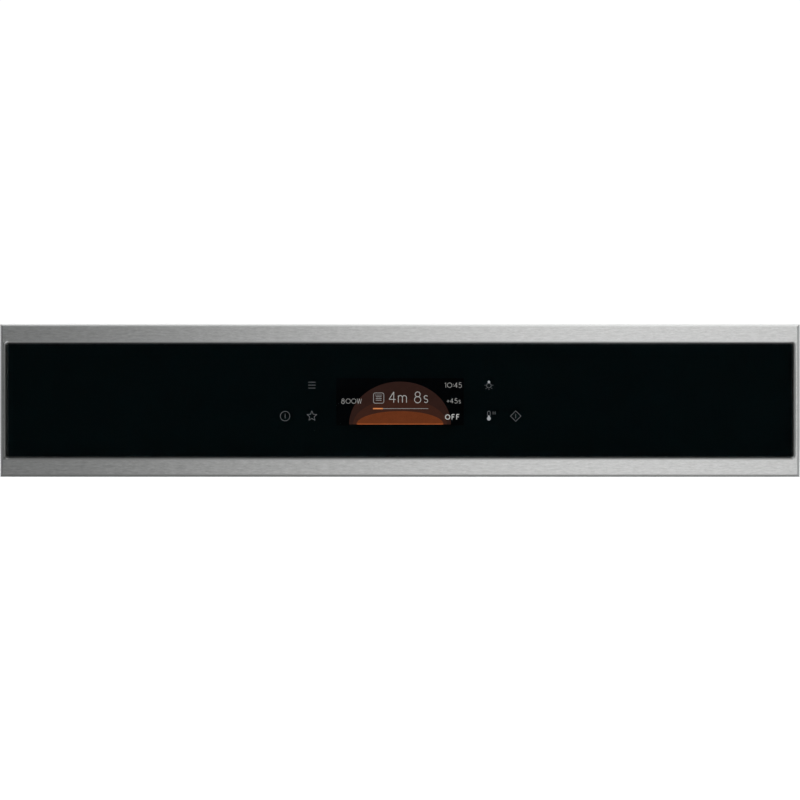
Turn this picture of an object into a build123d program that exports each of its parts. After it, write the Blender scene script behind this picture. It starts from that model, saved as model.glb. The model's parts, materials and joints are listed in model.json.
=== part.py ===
from build123d import *
import os

# Control panel of a built-in combi oven, in millimetres: X to the right, Z up, front face towards -Y.
# Depths are counted backwards from the front face of the steel. Only export() moves the pieces,
# so that the origin lies under the middle of the panel.

# Steel fascia
PANEL_WIDTH = 596.0
PANEL_HEIGHT = 114.0
STEEL = 0.8
FOLD_RADIUS = 2.0
RETURN_DEPTH = 22.0
SIDE_MARGIN = 5.0
EDGE_MARGIN = 14.6
WINDOW_RADIUS = 1.5
LIP_DEPTH = 4.0
LIP_RADIUS = 2.0
CORNER_NOTCH = 1.6

# Glass, its print and its tape
GLASS_THICKNESS = 4.0
GLASS_RECESS = 0.8
GLASS_GAP = 0.4
GLASS_BEVEL = 0.4
FILM_THICKNESS = 0.2
FILM_INSET = 0.5
TAPE_THICKNESS = 0.8
TAPE_WIDTH = 8.0
TAPE_INSET = 1.0

# Moulded carrier
CARRIER_GAP = 0.4
CARRIER_RADIUS = 2.0
PLATE_THICKNESS = 2.5
CARRIER_WALL = 2.0
WALL_SETBACK = 2.0
STANDOFF_RIB = 1.6
RIB_THICKNESS = 1.6
RIB_HEIGHT = 7.7
RIB_PITCH = 36.0
RIB_ROW_PITCH = 28.0
RIB_END_GAP = 6.0
RIB_MARGIN = 4.0
HOOK_WIDTH = 12.0
HOOK_SLIT = 1.2
HOOK_TONGUE = 10.5
HOOK_LENGTH = 3.0
HOOK_SETBACK = 2.0
HOOK_GAP = 0.2

# Weld studs and nuts
STUD_END_INSET = 23.0
STUD_FROM_RIM = 12.0
STUD_DIAMETER = 3.0
STUD_LENGTH = 13.0
STUD_CLEARANCE = 0.2
STUD_BOSS_WALL = 1.5
NUT_GAP = 0.05
NUT_ACROSS_FLATS = 5.5
NUT_THICKNESS = 2.4
THREAD_CLEARANCE = 0.05

# Display
DISPLAY_WIDTH = 95.0
DISPLAY_HEIGHT = 35.2
DISPLAY_DROP = 1.2
GASKET_THICKNESS = 0.8
GASKET_WIDTH = 3.0
GASKET_INSET = 0.75
FRAME_LAND = 5.3
FRAME_SHEET = 0.4
CELL_GAP = 0.2
CELL_THICKNESS = 1.8
BACKLIGHT_THICKNESS = 2.8
POCKET_GAP = 0.4
POCKET_WALL = 2.0
BRACKET_BAR = 9.0
BRACKET_SCREW_X = 40.0
EAR_RADIUS = 3.4
FLEX_WIDTH = 20.0
FLEX_THICKNESS = 0.3
FLEX_BEND = 1.2
FLEX_X = 24.0

# Touch keys
KEY_GAP = 18.5
KEY_PITCH = 20.0
KEY_RISE = 12.0
KEY_DROP = 11.1
PAD_SIZE = 13.0
PAD_HOLE_RADIUS = 4.2
PAD_GAP = 0.5
LED_WIDTH = 3.0
LED_HEIGHT = 2.0
LED_THICKNESS = 1.0
TOUCH_STANDOFF = 1.3
TOUCH_BOARD_INNER = 8.5
TOUCH_BOARD_OUTER = 9.0
TOUCH_BOARD_BORDER = 10.5
RIBBON_WIDTH = 10.0
RIBBON_BEND = 1.0

# Main board and what it carries
BOARD_THICKNESS = 1.6
BOARD_STANDOFF = 5.8
BOARD_BORDER = 3.0
BOARD_SCREW_INSET = 5.0
BOSS_RADIUS = 3.2
BOSS_GAP = 0.7
COMPONENT_ROOM = 11.4
CONNECTOR_HEIGHT = 2.8
CONNECTOR_DEPTH = 5.0
CHIP_CHAMFER = 0.3
PROCESSOR_SIZE = 14.0
PROCESSOR_THICKNESS = 1.4
MEMORY_WIDTH = 8.0
MEMORY_HEIGHT = 12.0
MEMORY_THICKNESS = 1.0
CAPACITOR_RADIUS = 4.0
CAPACITOR_LENGTH = 10.0
CAPACITOR_PITCH = 10.5
CAPACITOR_COUNT = 2
BUZZER_RADIUS = 6.5
BUZZER_THICKNESS = 7.0
BUZZER_HOLE = 1.3
HEADER_WIDTH = 32.0
HEADER_HEIGHT = 12.0
HEADER_WALL = 1.0
HEADER_FLOOR = 2.0
PIN_COUNT = 8
PIN_PITCH = 3.2
PIN_SIZE = 0.7
PIN_LENGTH = 8.0

# Screws
SCREW_RADIUS = 1.3
SCREW_HEAD_RADIUS = 2.4
SCREW_HEAD_THICKNESS = 1.6
SCREW_LENGTH = 6.0
SHORT_SCREW_LENGTH = 3.4
SCREW_TIP_GAP = 0.4

# Rear cover
COVER_WALL = 2.0
COVER_RADIUS = 6.0
COVER_EDGE_BEVEL = 1.2
COVER_DRAFT = 1.0
COVER_ROOM = 3.0
RIM_GAP = 0.3
RIM_WALL = 1.5
RIM_HEIGHT = 3.0
EAR_THICKNESS = 2.5
EAR_DEPTH = 6.0
EAR_REACH = 5.5
EAR_ROW = 22.0
VENT_WIDTH = 2.4
VENT_LENGTH = 22.0
VENT_PITCH = 6.0
VENT_COUNT = 10
VENT_RISE = 14.0
HEADER_GAP = 0.5

# Folded steel behind the carrier
TOTAL_DEPTH = 48.0
RAIL_SHEET = 1.0
RAIL_BEND = 1.5
RAIL_DROP = 12.0
RAIL_LIP = 7.0
RAIL_END_GAP = 2.0
RAIL_HOLE_RADIUS = 2.15
RAIL_HOLE_INSET = 60.0
RAIL_HOLE_DEPTH = 34.0
RAIL_SLOT_LENGTH = 40.0
RAIL_SLOT_WIDTH = 12.0
RAIL_SLOT_PITCH = 70.0
BRACKET_FLANGE = 28.0
BRACKET_SETBACK = 4.8
BRACKET_CLEARANCE = 0.3
FRAME_HOLE_RADIUS = 2.6
FRAME_HOLE_ROW = 70.0
DRIVER_NOTCH = 9.0
WEB_SLOT_LENGTH = 48.0
WEB_SLOT_WIDTH = 20.0
GUIDE_TAB_WIDTH = 22.0
GUIDE_TAB_HEIGHT = 8.2
GUIDE_JOGGLE_GAP = 1.0
GUIDE_JOGGLE_RUN = 4.0
GUIDE_LIP = 9.0
GUIDE_SLOT_LENGTH = 22.0
GUIDE_SLOT_WIDTH = 4.0
GUIDE_SLOT_PITCH = 32.0
GUIDE_SLOT_INSET = 12.0
TAB_WIDTH = 6.3
TAB_THICKNESS = 0.8
TAB_LENGTH = 9.0
TAB_LIFT = 9.0
TAB_DROP = 20.0

# Places worked out from the sizes above
MID_Z = PANEL_HEIGHT / 2
UI_Z = MID_Z - DISPLAY_DROP
WINDOW_WIDTH = PANEL_WIDTH - 2 * SIDE_MARGIN
WINDOW_HEIGHT = PANEL_HEIGHT - 2 * EDGE_MARGIN
GLASS_BACK = GLASS_RECESS + GLASS_THICKNESS
FILM_BACK = GLASS_BACK + FILM_THICKNESS
PLATE_FRONT = FILM_BACK + TAPE_THICKNESS
PLATE_BACK = PLATE_FRONT + PLATE_THICKNESS
WALL_BACK = RETURN_DEPTH - WALL_SETBACK
CARRIER_HALF = PANEL_WIDTH / 2 - STEEL - CARRIER_GAP
CARRIER_LOW = STEEL + CARRIER_GAP
WALL_INNER_LOW = CARRIER_LOW + CARRIER_WALL
HOOK_BACK = WALL_BACK - HOOK_SETBACK
HOOK_NOSE = CARRIER_GAP + STEEL - HOOK_GAP
STUD_Z = WALL_INNER_LOW + RAIL_SHEET / 2 + RAIL_BEND + NUT_ACROSS_FLATS / 2 + NUT_GAP
STUD_OUTER = PANEL_WIDTH / 2 - STUD_END_INSET
STUD_BOSS = STUD_DIAMETER / 2 + STUD_CLEARANCE + STUD_BOSS_WALL

DISPLAY_FRONT = FILM_BACK + GASKET_THICKNESS
CELL_FRONT = DISPLAY_FRONT + FRAME_SHEET
CELL_BACK = CELL_FRONT + CELL_THICKNESS
BACKLIGHT_BACK = CELL_BACK + BACKLIGHT_THICKNESS
DISPLAY_BACK = BACKLIGHT_BACK + FRAME_SHEET
FRAME_W = DISPLAY_WIDTH + 2 * FRAME_LAND
FRAME_H = DISPLAY_HEIGHT + 2 * FRAME_LAND
POCKET_W = FRAME_W + 2 * POCKET_GAP
POCKET_H = FRAME_H + 2 * POCKET_GAP
POCKET_HALF = POCKET_H / 2 + POCKET_WALL
BRACKET_SCREW_Z = POCKET_HALF + BOSS_GAP + BOSS_RADIUS

KEY_INNER = DISPLAY_WIDTH / 2 + KEY_GAP
KEY_OUTER = KEY_INNER + KEY_PITCH
TOUCH_FRONT = PLATE_BACK + TOUCH_STANDOFF
TOUCH_BACK = TOUCH_FRONT + BOARD_THICKNESS

BOARD_FRONT = DISPLAY_BACK + RAIL_SHEET + BOARD_STANDOFF
BOARD_BACK = BOARD_FRONT + BOARD_THICKNESS
BOARD_HALF_W = KEY_OUTER + TOUCH_BOARD_OUTER
BOARD_HALF_H = BRACKET_SCREW_Z + BOARD_BORDER
COVER_INNER_BACK = BOARD_BACK + COMPONENT_ROOM
COVER_BACK = COVER_INNER_BACK + COVER_WALL
COVER_HALF_W = BOARD_HALF_W + COVER_ROOM + COVER_WALL
COVER_HALF_H = BOARD_HALF_H + COVER_ROOM + COVER_WALL
HEADER_X = -BOARD_HALF_W + BOARD_SCREW_INSET * 2 + HEADER_WIDTH
HEADER_Z = UI_Z - BOARD_HALF_H / 2 - BOARD_BORDER
EAR_X = COVER_HALF_W + EAR_REACH
STUD_INNER = COVER_HALF_W + RIM_GAP + RIM_WALL + STUD_FROM_RIM
EAR_FRONT = PLATE_BACK + EAR_DEPTH
EAR_BACK = EAR_FRONT + EAR_THICKNESS

NUT_FRONT = PLATE_BACK + RAIL_SHEET
BRACKET_OUTER = CARRIER_HALF - CARRIER_WALL - BRACKET_SETBACK
BRACKET_INNER = BRACKET_OUTER - BRACKET_FLANGE
RAIL_HALF = BRACKET_INNER - RAIL_END_GAP
RAIL_Z = PANEL_HEIGHT - RAIL_DROP
GUIDE_TAB_TOP = WALL_INNER_LOW + RAIL_SHEET / 2 + GUIDE_TAB_HEIGHT
RIB_START = EAR_X + BOSS_RADIUS + RIB_MARGIN
RIB_END = RAIL_HALF - RIB_MARGIN
RIB_LOW = GUIDE_TAB_TOP + RIB_END_GAP
RIB_HIGH = RAIL_Z - RAIL_SHEET - RIB_END_GAP


def on_face(depth):
    """Plane at a depth that looks to the front, its own X to the right and its own Y up."""
    return Plane(origin=(0, depth, 0), x_dir=(1, 0, 0), z_dir=(0, -1, 0))


def slab(sketch, front, back):
    """A drawing on the panel's face made solid between two depths."""
    return extrude(on_face(back) * sketch, amount=back - front)


def through(sketch, front, back):
    """A cut that starts before the front face and ends behind the back one."""
    return slab(sketch, front - STEEL, back + STEEL)


def along_width(section, start, end):
    """A drawing of depth and height made solid along the width."""
    return extrude(Plane.YZ.offset(start) * section, amount=end - start)


def along_height(section, low, high):
    """A drawing of width and depth made solid upwards."""
    return extrude(Plane.XY.offset(low) * section, amount=high - low)


def rounded(width, height, radius, x=0.0, z=0.0):
    return Pos(x, z) * RectangleRounded(width, height, radius)


def rectangle(width, height, x=0.0, z=0.0):
    return Pos(x, z) * Rectangle(width, height)


def disc(radius, x=0.0, z=0.0):
    return Pos(x, z) * Circle(radius)


def small_round(radius, x=0.0, z=0.0):
    """Post, shank or hole of a few millimetres, drawn with eight sides round its circle."""
    return Pos(x, z) * RegularPolygon(radius, 8, major_radius=False)


def chamfered(width, height, corner, x=0.0, z=0.0):
    """Punched window with its corners cut off."""
    window = Rectangle(width, height)
    return Pos(x, z) * chamfer(window.vertices(), corner)


def fold_strip(points, thickness, bend):
    """Section of a folded sheet of even thickness, from the middle line of its fold."""
    return trace(FilletPolyline(*points, radius=bend), line_width=thickness)


def spread(count, span):
    """Evenly spaced places from one end of a span to the other."""
    return [span * (i / (count - 1) - 0.5) for i in range(count)]


def stud_places():
    columns = (-STUD_OUTER, -STUD_INNER, STUD_INNER, STUD_OUTER)
    return [(x, z) for z in (STUD_Z, PANEL_HEIGHT - STUD_Z) for x in columns]


def hook_places():
    """Snap hooks lie half-way between the studs."""
    between = (STUD_INNER + STUD_OUTER) / 2
    return [-between, 0, between]


def key_places(side):
    """Three keys beside the display: two in the near column, one outside the lower one."""
    near, far = side * KEY_INNER, side * KEY_OUTER
    return [(near, UI_Z + KEY_RISE), (near, UI_Z - KEY_DROP), (far, UI_Z - KEY_DROP)]


def all_keys():
    return key_places(-1) + key_places(1)


def corner_places(half_width, half_height):
    return [(x, UI_Z + z) for x in (-half_width, half_width) for z in (-half_height, half_height)]


def board_screw_places():
    return corner_places(BOARD_HALF_W - BOARD_SCREW_INSET, BOARD_HALF_H - BOARD_SCREW_INSET)


def touch_screw_place(side):
    """The screw stands in the corner of the touch board that holds no key."""
    return (side * KEY_OUTER, UI_Z + KEY_RISE)


def window_outline(grow):
    width = WINDOW_WIDTH + 2 * grow
    height = WINDOW_HEIGHT + 2 * grow
    return rounded(width, height, WINDOW_RADIUS + grow, z=MID_Z)


def edges_at(part, depth, half_width, half_height):
    """Edges that lie at one depth, inside a rectangle round the panel's centre."""
    near = 0.05
    return [
        edge
        for edge in part.edges()
        if edge.bounding_box().size.Y < near
        and abs(edge.center().Y - depth) < near
        and abs(edge.center().X) < half_width + near
        and abs(edge.center().Z - MID_Z) < half_height + near
    ]


def folded_block(inset, radius, back):
    """The panel's outer form moved inwards, with its four front edges rounded and mitred."""
    half = PANEL_WIDTH / 2 - inset
    low, high = inset, PANEL_HEIGHT - inset
    side = FilletPolyline((back, low), (inset, low), (inset, high), (back, high), radius=radius)
    plan = FilletPolyline((-half, back), (-half, inset), (half, inset), (half, back), radius=radius)
    side_face = make_face(side + Line(side @ 1, side @ 0))
    plan_face = make_face(plan + Line(plan @ 1, plan @ 0))
    return along_width(side_face, -half, half) & along_height(plan_face, low, high)


def steel_fascia():
    outside = folded_block(0, FOLD_RADIUS, RETURN_DEPTH)
    inside = folded_block(STEEL, FOLD_RADIUS - STEEL, RETURN_DEPTH + STEEL)
    lip = slab(window_outline(STEEL), 0, LIP_DEPTH)
    fascia = outside - inside + lip - through(window_outline(0), 0, LIP_DEPTH)
    half_width, half_height = WINDOW_WIDTH / 2, WINDOW_HEIGHT / 2
    behind_lip = edges_at(fascia, STEEL, half_width + STEEL, half_height + STEEL)
    fascia = fillet(behind_lip, LIP_RADIUS - STEEL)
    fascia = fillet(edges_at(fascia, 0, half_width, half_height), LIP_RADIUS)
    return fascia - corner_notches() - hook_slots()


def corner_notches():
    """Relief at each corner, where the folded sides would meet behind the front."""
    half = PANEL_WIDTH / 2
    notch = Rectangle(2 * CORNER_NOTCH, 2 * CORNER_NOTCH)
    corners = [(x, z) for x in (-half, half) for z in (0, PANEL_HEIGHT)]
    return [slab(Pos(x, z) * notch, FOLD_RADIUS + STEEL, RETURN_DEPTH + STEEL) for x, z in corners]


def hook_slots():
    """Slots in the upper and lower fold that the carrier's hooks snap into."""
    front = HOOK_BACK - HOOK_LENGTH - HOOK_GAP
    back = HOOK_BACK + HOOK_GAP
    slot = Pos(0, (front + back) / 2) * Rectangle(HOOK_WIDTH + 2 * HOOK_GAP, back - front)
    rows = ((-STEEL, CARRIER_LOW), (PANEL_HEIGHT - CARRIER_LOW, PANEL_HEIGHT + STEEL))
    return [along_height(Pos(x, 0) * slot, low, high) for x in hook_places() for low, high in rows]


def fascia_studs():
    """Weld studs on the back of the steel."""
    return [slab(small_round(STUD_DIAMETER / 2, x, z), STEEL, STEEL + STUD_LENGTH) for x, z in stud_places()]


def stud_nuts():
    hexagon = RegularPolygon(NUT_ACROSS_FLATS / 2, 6, major_radius=False)
    outline = hexagon - small_round(STUD_DIAMETER / 2 + THREAD_CLEARANCE)
    nut = slab(outline, NUT_FRONT, NUT_FRONT + NUT_THICKNESS)
    return [Pos(x, 0, z) * nut for x, z in stud_places()]


def control_glass():
    glass = slab(window_outline(-GLASS_GAP), GLASS_RECESS, GLASS_BACK)
    rims = [e for e in glass.edges() if e.bounding_box().size.Y < GLASS_BEVEL]
    return chamfer(rims, GLASS_BEVEL)


def mask_film():
    inset = 2 * (GLASS_GAP + FILM_INSET)
    outer = rectangle(WINDOW_WIDTH - inset, WINDOW_HEIGHT - inset, z=MID_Z)
    return slab(outer - rectangle(DISPLAY_WIDTH, DISPLAY_HEIGHT, z=UI_Z), GLASS_BACK, FILM_BACK)


def tape_outline(inset):
    gap = 2 * (GLASS_GAP + TAPE_INSET + inset)
    return rectangle(WINDOW_WIDTH - gap, WINDOW_HEIGHT - gap, z=MID_Z)


def glass_tape():
    ring = tape_outline(0) - tape_outline(TAPE_WIDTH)
    bars = [
        rectangle(TAPE_WIDTH, WINDOW_HEIGHT - 2 * (GLASS_GAP + TAPE_INSET), x=x, z=MID_Z)
        for x in (-RIB_START, RIB_START)
    ]
    return slab(ring + bars, FILM_BACK, PLATE_FRONT)


def carrier_outline(inset):
    width = 2 * (CARRIER_HALF - inset)
    height = PANEL_HEIGHT - 2 * (CARRIER_LOW + inset)
    return rounded(width, height, CARRIER_RADIUS, z=MID_Z)


def standoffs():
    """Bosses round the studs, and the long ribs between them that bear on the steel."""
    bosses = [slab(small_round(STUD_BOSS, x, z), STEEL, PLATE_FRONT) for x, z in stud_places()]
    ribs = [
        slab(rectangle(2 * STUD_OUTER, STANDOFF_RIB, z=z), STEEL, PLATE_FRONT)
        for z in (STUD_Z, PANEL_HEIGHT - STUD_Z)
    ]
    return bosses + ribs


def stud_holes(front, back):
    hole = STUD_DIAMETER / 2 + STUD_CLEARANCE
    return [through(small_round(hole, x, z), front, back) for x, z in stud_places()]


def stiffening_ribs():
    """Crossing ribs on the back of the carrier, between the cover and the end bracket."""
    length = RIB_END - RIB_START
    columns = max(2, round(length / RIB_PITCH) + 1)
    middle = (RIB_START + RIB_END) / 2
    back = PLATE_BACK + RIB_HEIGHT
    ribs = []
    for side in (-1, 1):
        for offset in spread(columns, length - RIB_THICKNESS):
            x = side * (middle + offset)
            upright = rectangle(RIB_THICKNESS, RIB_HIGH - RIB_LOW, x, (RIB_LOW + RIB_HIGH) / 2)
            ribs.append(slab(upright, PLATE_BACK, back))
        for row in (-0.5, 0.5):
            level = rectangle(length, RIB_THICKNESS, side * middle, MID_Z + row * RIB_ROW_PITCH)
            ribs.append(slab(level, PLATE_BACK, back))
    return ribs


def hooks():
    """Snap noses on the upper and lower wall, steep behind and sloped in front."""
    noses = []
    front = HOOK_BACK - HOOK_LENGTH
    for wall, outward in ((CARRIER_LOW, -1), (PANEL_HEIGHT - CARRIER_LOW, 1)):
        root = wall - outward * CARRIER_WALL / 2
        tip = wall + outward * HOOK_NOSE
        outline = Polyline((front, root), (front, wall), (HOOK_BACK, tip), (HOOK_BACK, root), close=True)
        section = make_face(outline)
        half = HOOK_WIDTH / 2 - HOOK_SLIT / 2
        noses += [along_width(section, x - half, x + half) for x in hook_places()]
    return noses


def hook_slits():
    """Slits on both sides of each hook, so that its tongue can bend."""
    offset = (HOOK_WIDTH + HOOK_SLIT) / 2
    front = WALL_BACK - HOOK_TONGUE
    middles = (CARRIER_LOW + CARRIER_WALL / 2, PANEL_HEIGHT - CARRIER_LOW - CARRIER_WALL / 2)
    slits = []
    for x in hook_places():
        for z in middles:
            for side in (-1, 1):
                outline = rectangle(HOOK_SLIT, CARRIER_WALL + 2 * CARRIER_GAP, x + side * offset, z)
                slits.append(slab(outline, front, WALL_BACK + STEEL))
    return slits


def screw_hole(x, z):
    """Clearance hole for a screw."""
    return small_round(SCREW_RADIUS + STUD_CLEARANCE, x, z)


def boss(x, z, back):
    """Screw boss on the back of the carrier's plate."""
    return slab(small_round(BOSS_RADIUS, x, z), PLATE_FRONT, back)


def ear_places():
    return [(x, UI_Z + z) for x in (-EAR_X, EAR_X) for z in (-EAR_ROW, EAR_ROW)]


def bracket_screw_places():
    """Two screws on a diagonal hold the display's bracket."""
    return [(-BRACKET_SCREW_X, UI_Z - BRACKET_SCREW_Z), (BRACKET_SCREW_X, UI_Z + BRACKET_SCREW_Z)]


def screw_seats():
    """Bosses of the carrier: place, depth of the seat, and length of the screw inside."""
    touch_places = [touch_screw_place(-1), touch_screw_place(1)]
    seats = [(place, BOARD_FRONT, SCREW_LENGTH) for place in board_screw_places()]
    seats += [(place, EAR_FRONT, SCREW_LENGTH) for place in ear_places()]
    seats += [(place, DISPLAY_BACK, SHORT_SCREW_LENGTH) for place in bracket_screw_places()]
    seats += [(place, TOUCH_FRONT, SHORT_SCREW_LENGTH) for place in touch_places]
    return seats


def cover_rim():
    """Low wall that the rear cover sits inside."""
    outer = cover_outline(RIM_GAP + RIM_WALL)
    inner = cover_outline(RIM_GAP)
    return slab(outer - inner, PLATE_BACK, PLATE_BACK + RIM_HEIGHT)


def display_pocket():
    outer = rectangle(POCKET_W + 2 * POCKET_WALL, POCKET_H + 2 * POCKET_WALL, z=UI_Z)
    return slab(outer, PLATE_BACK, DISPLAY_BACK)


def glass_carrier():
    plate = slab(carrier_outline(0), PLATE_FRONT, PLATE_BACK)
    wall = slab(carrier_outline(0) - carrier_outline(CARRIER_WALL), PLATE_FRONT, WALL_BACK)
    bosses = [boss(x, z, seat) for (x, z), seat, _ in screw_seats()]
    body = plate + ([wall, cover_rim(), display_pocket()] + standoffs() + stiffening_ribs() + bosses)
    body = body + hooks()
    opening = through(rectangle(POCKET_W, POCKET_H, z=UI_Z), PLATE_FRONT, DISPLAY_BACK)
    key_hole = PAD_SIZE + 2 * PAD_GAP
    key_holes = [through(rectangle(key_hole, key_hole, x, z), PLATE_FRONT, PLATE_BACK) for x, z in all_keys()]
    screw_holes = [
        slab(small_round(SCREW_RADIUS + THREAD_CLEARANCE, x, z), seat - length, seat + STEEL)
        for (x, z), seat, length in screw_seats()
    ]
    stud_ways = stud_holes(STEEL, PLATE_BACK)
    return body - ([opening] + key_holes + screw_holes + stud_ways + hook_slits())


def display_gasket():
    inner_w = DISPLAY_WIDTH + 2 * GASKET_INSET
    inner_h = DISPLAY_HEIGHT + 2 * GASKET_INSET
    outer = rectangle(inner_w + 2 * GASKET_WIDTH, inner_h + 2 * GASKET_WIDTH, z=UI_Z)
    return slab(outer - rectangle(inner_w, inner_h, z=UI_Z), FILM_BACK, DISPLAY_FRONT)


def display_outline(inset):
    return rectangle(FRAME_W - 2 * inset, FRAME_H - 2 * inset, z=UI_Z)


def display_frame():
    view = rectangle(DISPLAY_WIDTH + GASKET_INSET, DISPLAY_HEIGHT + GASKET_INSET, z=UI_Z)
    face = slab(display_outline(0) - view, DISPLAY_FRONT, CELL_FRONT)
    sides = slab(display_outline(0) - display_outline(FRAME_SHEET), DISPLAY_FRONT, DISPLAY_BACK)
    return face + sides


def display_layer(front, back):
    """One of the flat layers that fill the display's frame."""
    return slab(display_outline(FRAME_SHEET + CELL_GAP), front, back)


def display_bracket():
    """Pressed frame behind the display, with an ear for each of its screws."""
    outer_w = POCKET_W + 2 * POCKET_WALL
    outer_h = POCKET_H + 2 * POCKET_WALL
    bar = rectangle(outer_w, outer_h, z=UI_Z)
    ears = []
    for x, z in bracket_screw_places():
        ears.append(small_round(EAR_RADIUS, x, z))
        ears.append(rectangle(2 * EAR_RADIUS, BRACKET_SCREW_Z, x, (z + UI_Z) / 2))
    view = chamfered(outer_w - 2 * BRACKET_BAR, outer_h - 2 * BRACKET_BAR, EAR_RADIUS, z=UI_Z)
    holes = [screw_hole(x, z) for x, z in bracket_screw_places()]
    return slab(bar + ears - view - holes, DISPLAY_BACK, DISPLAY_BACK + RAIL_SHEET)


def display_flex():
    """Flat tail from the display's back, round the lower edge of the main board."""
    half = FLEX_THICKNESS / 2
    board_low = UI_Z - BOARD_HALF_H
    near = DISPLAY_BACK + half
    middle = DISPLAY_BACK + RAIL_SHEET + BOARD_STANDOFF / 2
    under = board_low - COVER_ROOM / 2
    rear = BOARD_BACK + CONNECTOR_HEIGHT / 2
    turn = UI_Z - BRACKET_BAR / 2
    points = [
        (near, UI_Z + BRACKET_BAR / 2),
        (near, turn),
        (middle, turn),
        (middle, under),
        (rear, under),
        (rear, board_low + BOARD_BORDER),
    ]
    section = fold_strip(points, FLEX_THICKNESS, FLEX_BEND)
    return along_width(section, FLEX_X - FLEX_WIDTH / 2, FLEX_X + FLEX_WIDTH / 2)


def touch_board(side):
    inner = KEY_INNER - TOUCH_BOARD_INNER
    outer = KEY_OUTER + TOUCH_BOARD_OUTER
    low = UI_Z - KEY_DROP - TOUCH_BOARD_BORDER
    high = UI_Z + KEY_RISE + TOUCH_BOARD_BORDER
    outline = rectangle(outer - inner, high - low, side * (inner + outer) / 2, (low + high) / 2)
    return slab(outline - screw_hole(*touch_screw_place(side)), TOUCH_FRONT, TOUCH_BACK)


def touch_pads():
    """Conductive foam blocks between the boards and the glass, open in the middle for the lamp."""
    return [
        slab(rectangle(PAD_SIZE, PAD_SIZE, x, z) - small_round(PAD_HOLE_RADIUS, x, z), FILM_BACK, TOUCH_FRONT)
        for x, z in all_keys()
    ]


def key_leds():
    front = TOUCH_FRONT - LED_THICKNESS
    return [slab(rectangle(LED_WIDTH, LED_HEIGHT, x, z), front, TOUCH_FRONT) for x, z in all_keys()]


def touch_ribbons():
    """Flat ribbons from the touch boards, round the ends of the main board."""
    half = FLEX_THICKNESS / 2
    ribbons = []
    for side in (-1, 1):
        points = [
            (side * KEY_OUTER, TOUCH_BACK + half),
            (side * (BOARD_HALF_W + COVER_ROOM / 2), TOUCH_BACK + half),
            (side * (BOARD_HALF_W + COVER_ROOM / 2), BOARD_BACK + CONNECTOR_HEIGHT / 2),
            (side * (BOARD_HALF_W - half), BOARD_BACK + CONNECTOR_HEIGHT / 2),
        ]
        section = fold_strip(points, FLEX_THICKNESS, RIBBON_BEND)
        ribbons.append(along_height(section, UI_Z - RIBBON_WIDTH / 2, UI_Z + RIBBON_WIDTH / 2))
    return ribbons


def main_board():
    outline = rectangle(2 * BOARD_HALF_W, 2 * BOARD_HALF_H, z=UI_Z)
    holes = [screw_hole(x, z) for x, z in board_screw_places()]
    return slab(outline - holes, BOARD_FRONT, BOARD_BACK)


def chip(width, height, thickness, x, z):
    """Chip on the back of the main board, with its outer edges sloped."""
    body = slab(rectangle(width, height, x, z), BOARD_BACK, BOARD_BACK + thickness)
    return chamfer(body.faces().sort_by(Axis.Y)[-1].edges(), CHIP_CHAMFER)


def processor_chip():
    return chip(PROCESSOR_SIZE, PROCESSOR_SIZE, PROCESSOR_THICKNESS, 0, UI_Z)


def memory_chips():
    x = PROCESSOR_SIZE + MEMORY_WIDTH
    return [
        chip(MEMORY_WIDTH, MEMORY_HEIGHT, MEMORY_THICKNESS, x, UI_Z + z)
        for z in (-MEMORY_HEIGHT / 2 - CONNECTOR_DEPTH / 2, MEMORY_HEIGHT / 2 + CONNECTOR_DEPTH / 2)
    ]


def capacitors():
    """A row of round cans that stand on the board."""
    z = UI_Z + BOARD_HALF_H / 2
    row = spread(CAPACITOR_COUNT, CAPACITOR_PITCH * (CAPACITOR_COUNT - 1))
    can = slab(disc(CAPACITOR_RADIUS), BOARD_BACK, BOARD_BACK + CAPACITOR_LENGTH)
    return [Pos(HEADER_X + offset, 0, z) * can for offset in row]


def buzzer():
    back = BOARD_BACK + BUZZER_THICKNESS
    x = KEY_INNER
    z = UI_Z + BOARD_HALF_H / 2
    body = slab(disc(BUZZER_RADIUS, x, z), BOARD_BACK, back)
    return body - slab(small_round(BUZZER_HOLE, x, z), back - BUZZER_THICKNESS / 2, back + STEEL)


def ribbon_connectors():
    width = CONNECTOR_DEPTH
    x = BOARD_HALF_W - width / 2 - FLEX_THICKNESS / 2
    back = BOARD_BACK + CONNECTOR_HEIGHT
    height = RIBBON_WIDTH + CONNECTOR_HEIGHT
    return [slab(rectangle(width, height, side * x, UI_Z), BOARD_BACK, back) for side in (-1, 1)]


def flex_connector():
    low = UI_Z - BOARD_HALF_H + BOARD_BORDER
    outline = rectangle(FLEX_WIDTH + CONNECTOR_HEIGHT, CONNECTOR_DEPTH, FLEX_X, low + CONNECTOR_DEPTH / 2)
    return slab(outline, BOARD_BACK, BOARD_BACK + CONNECTOR_HEIGHT)


def loom_header():
    """Open-backed socket on the main board that reaches through the rear cover."""
    outer = rectangle(HEADER_WIDTH, HEADER_HEIGHT, HEADER_X, HEADER_Z)
    inner = rectangle(HEADER_WIDTH - 2 * HEADER_WALL, HEADER_HEIGHT - 2 * HEADER_WALL, HEADER_X, HEADER_Z)
    return slab(outer, BOARD_BACK, COVER_BACK) - slab(inner, BOARD_BACK + HEADER_FLOOR, COVER_BACK + STEEL)


def loom_pins():
    """One row of pins along the middle of the socket."""
    front = BOARD_BACK + HEADER_FLOOR
    pins = []
    for offset in spread(PIN_COUNT, PIN_PITCH * (PIN_COUNT - 1)):
        pin = rectangle(PIN_SIZE, PIN_SIZE, HEADER_X + offset, HEADER_Z)
        pins.append(slab(pin, front, front + PIN_LENGTH))
    return pins


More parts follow.
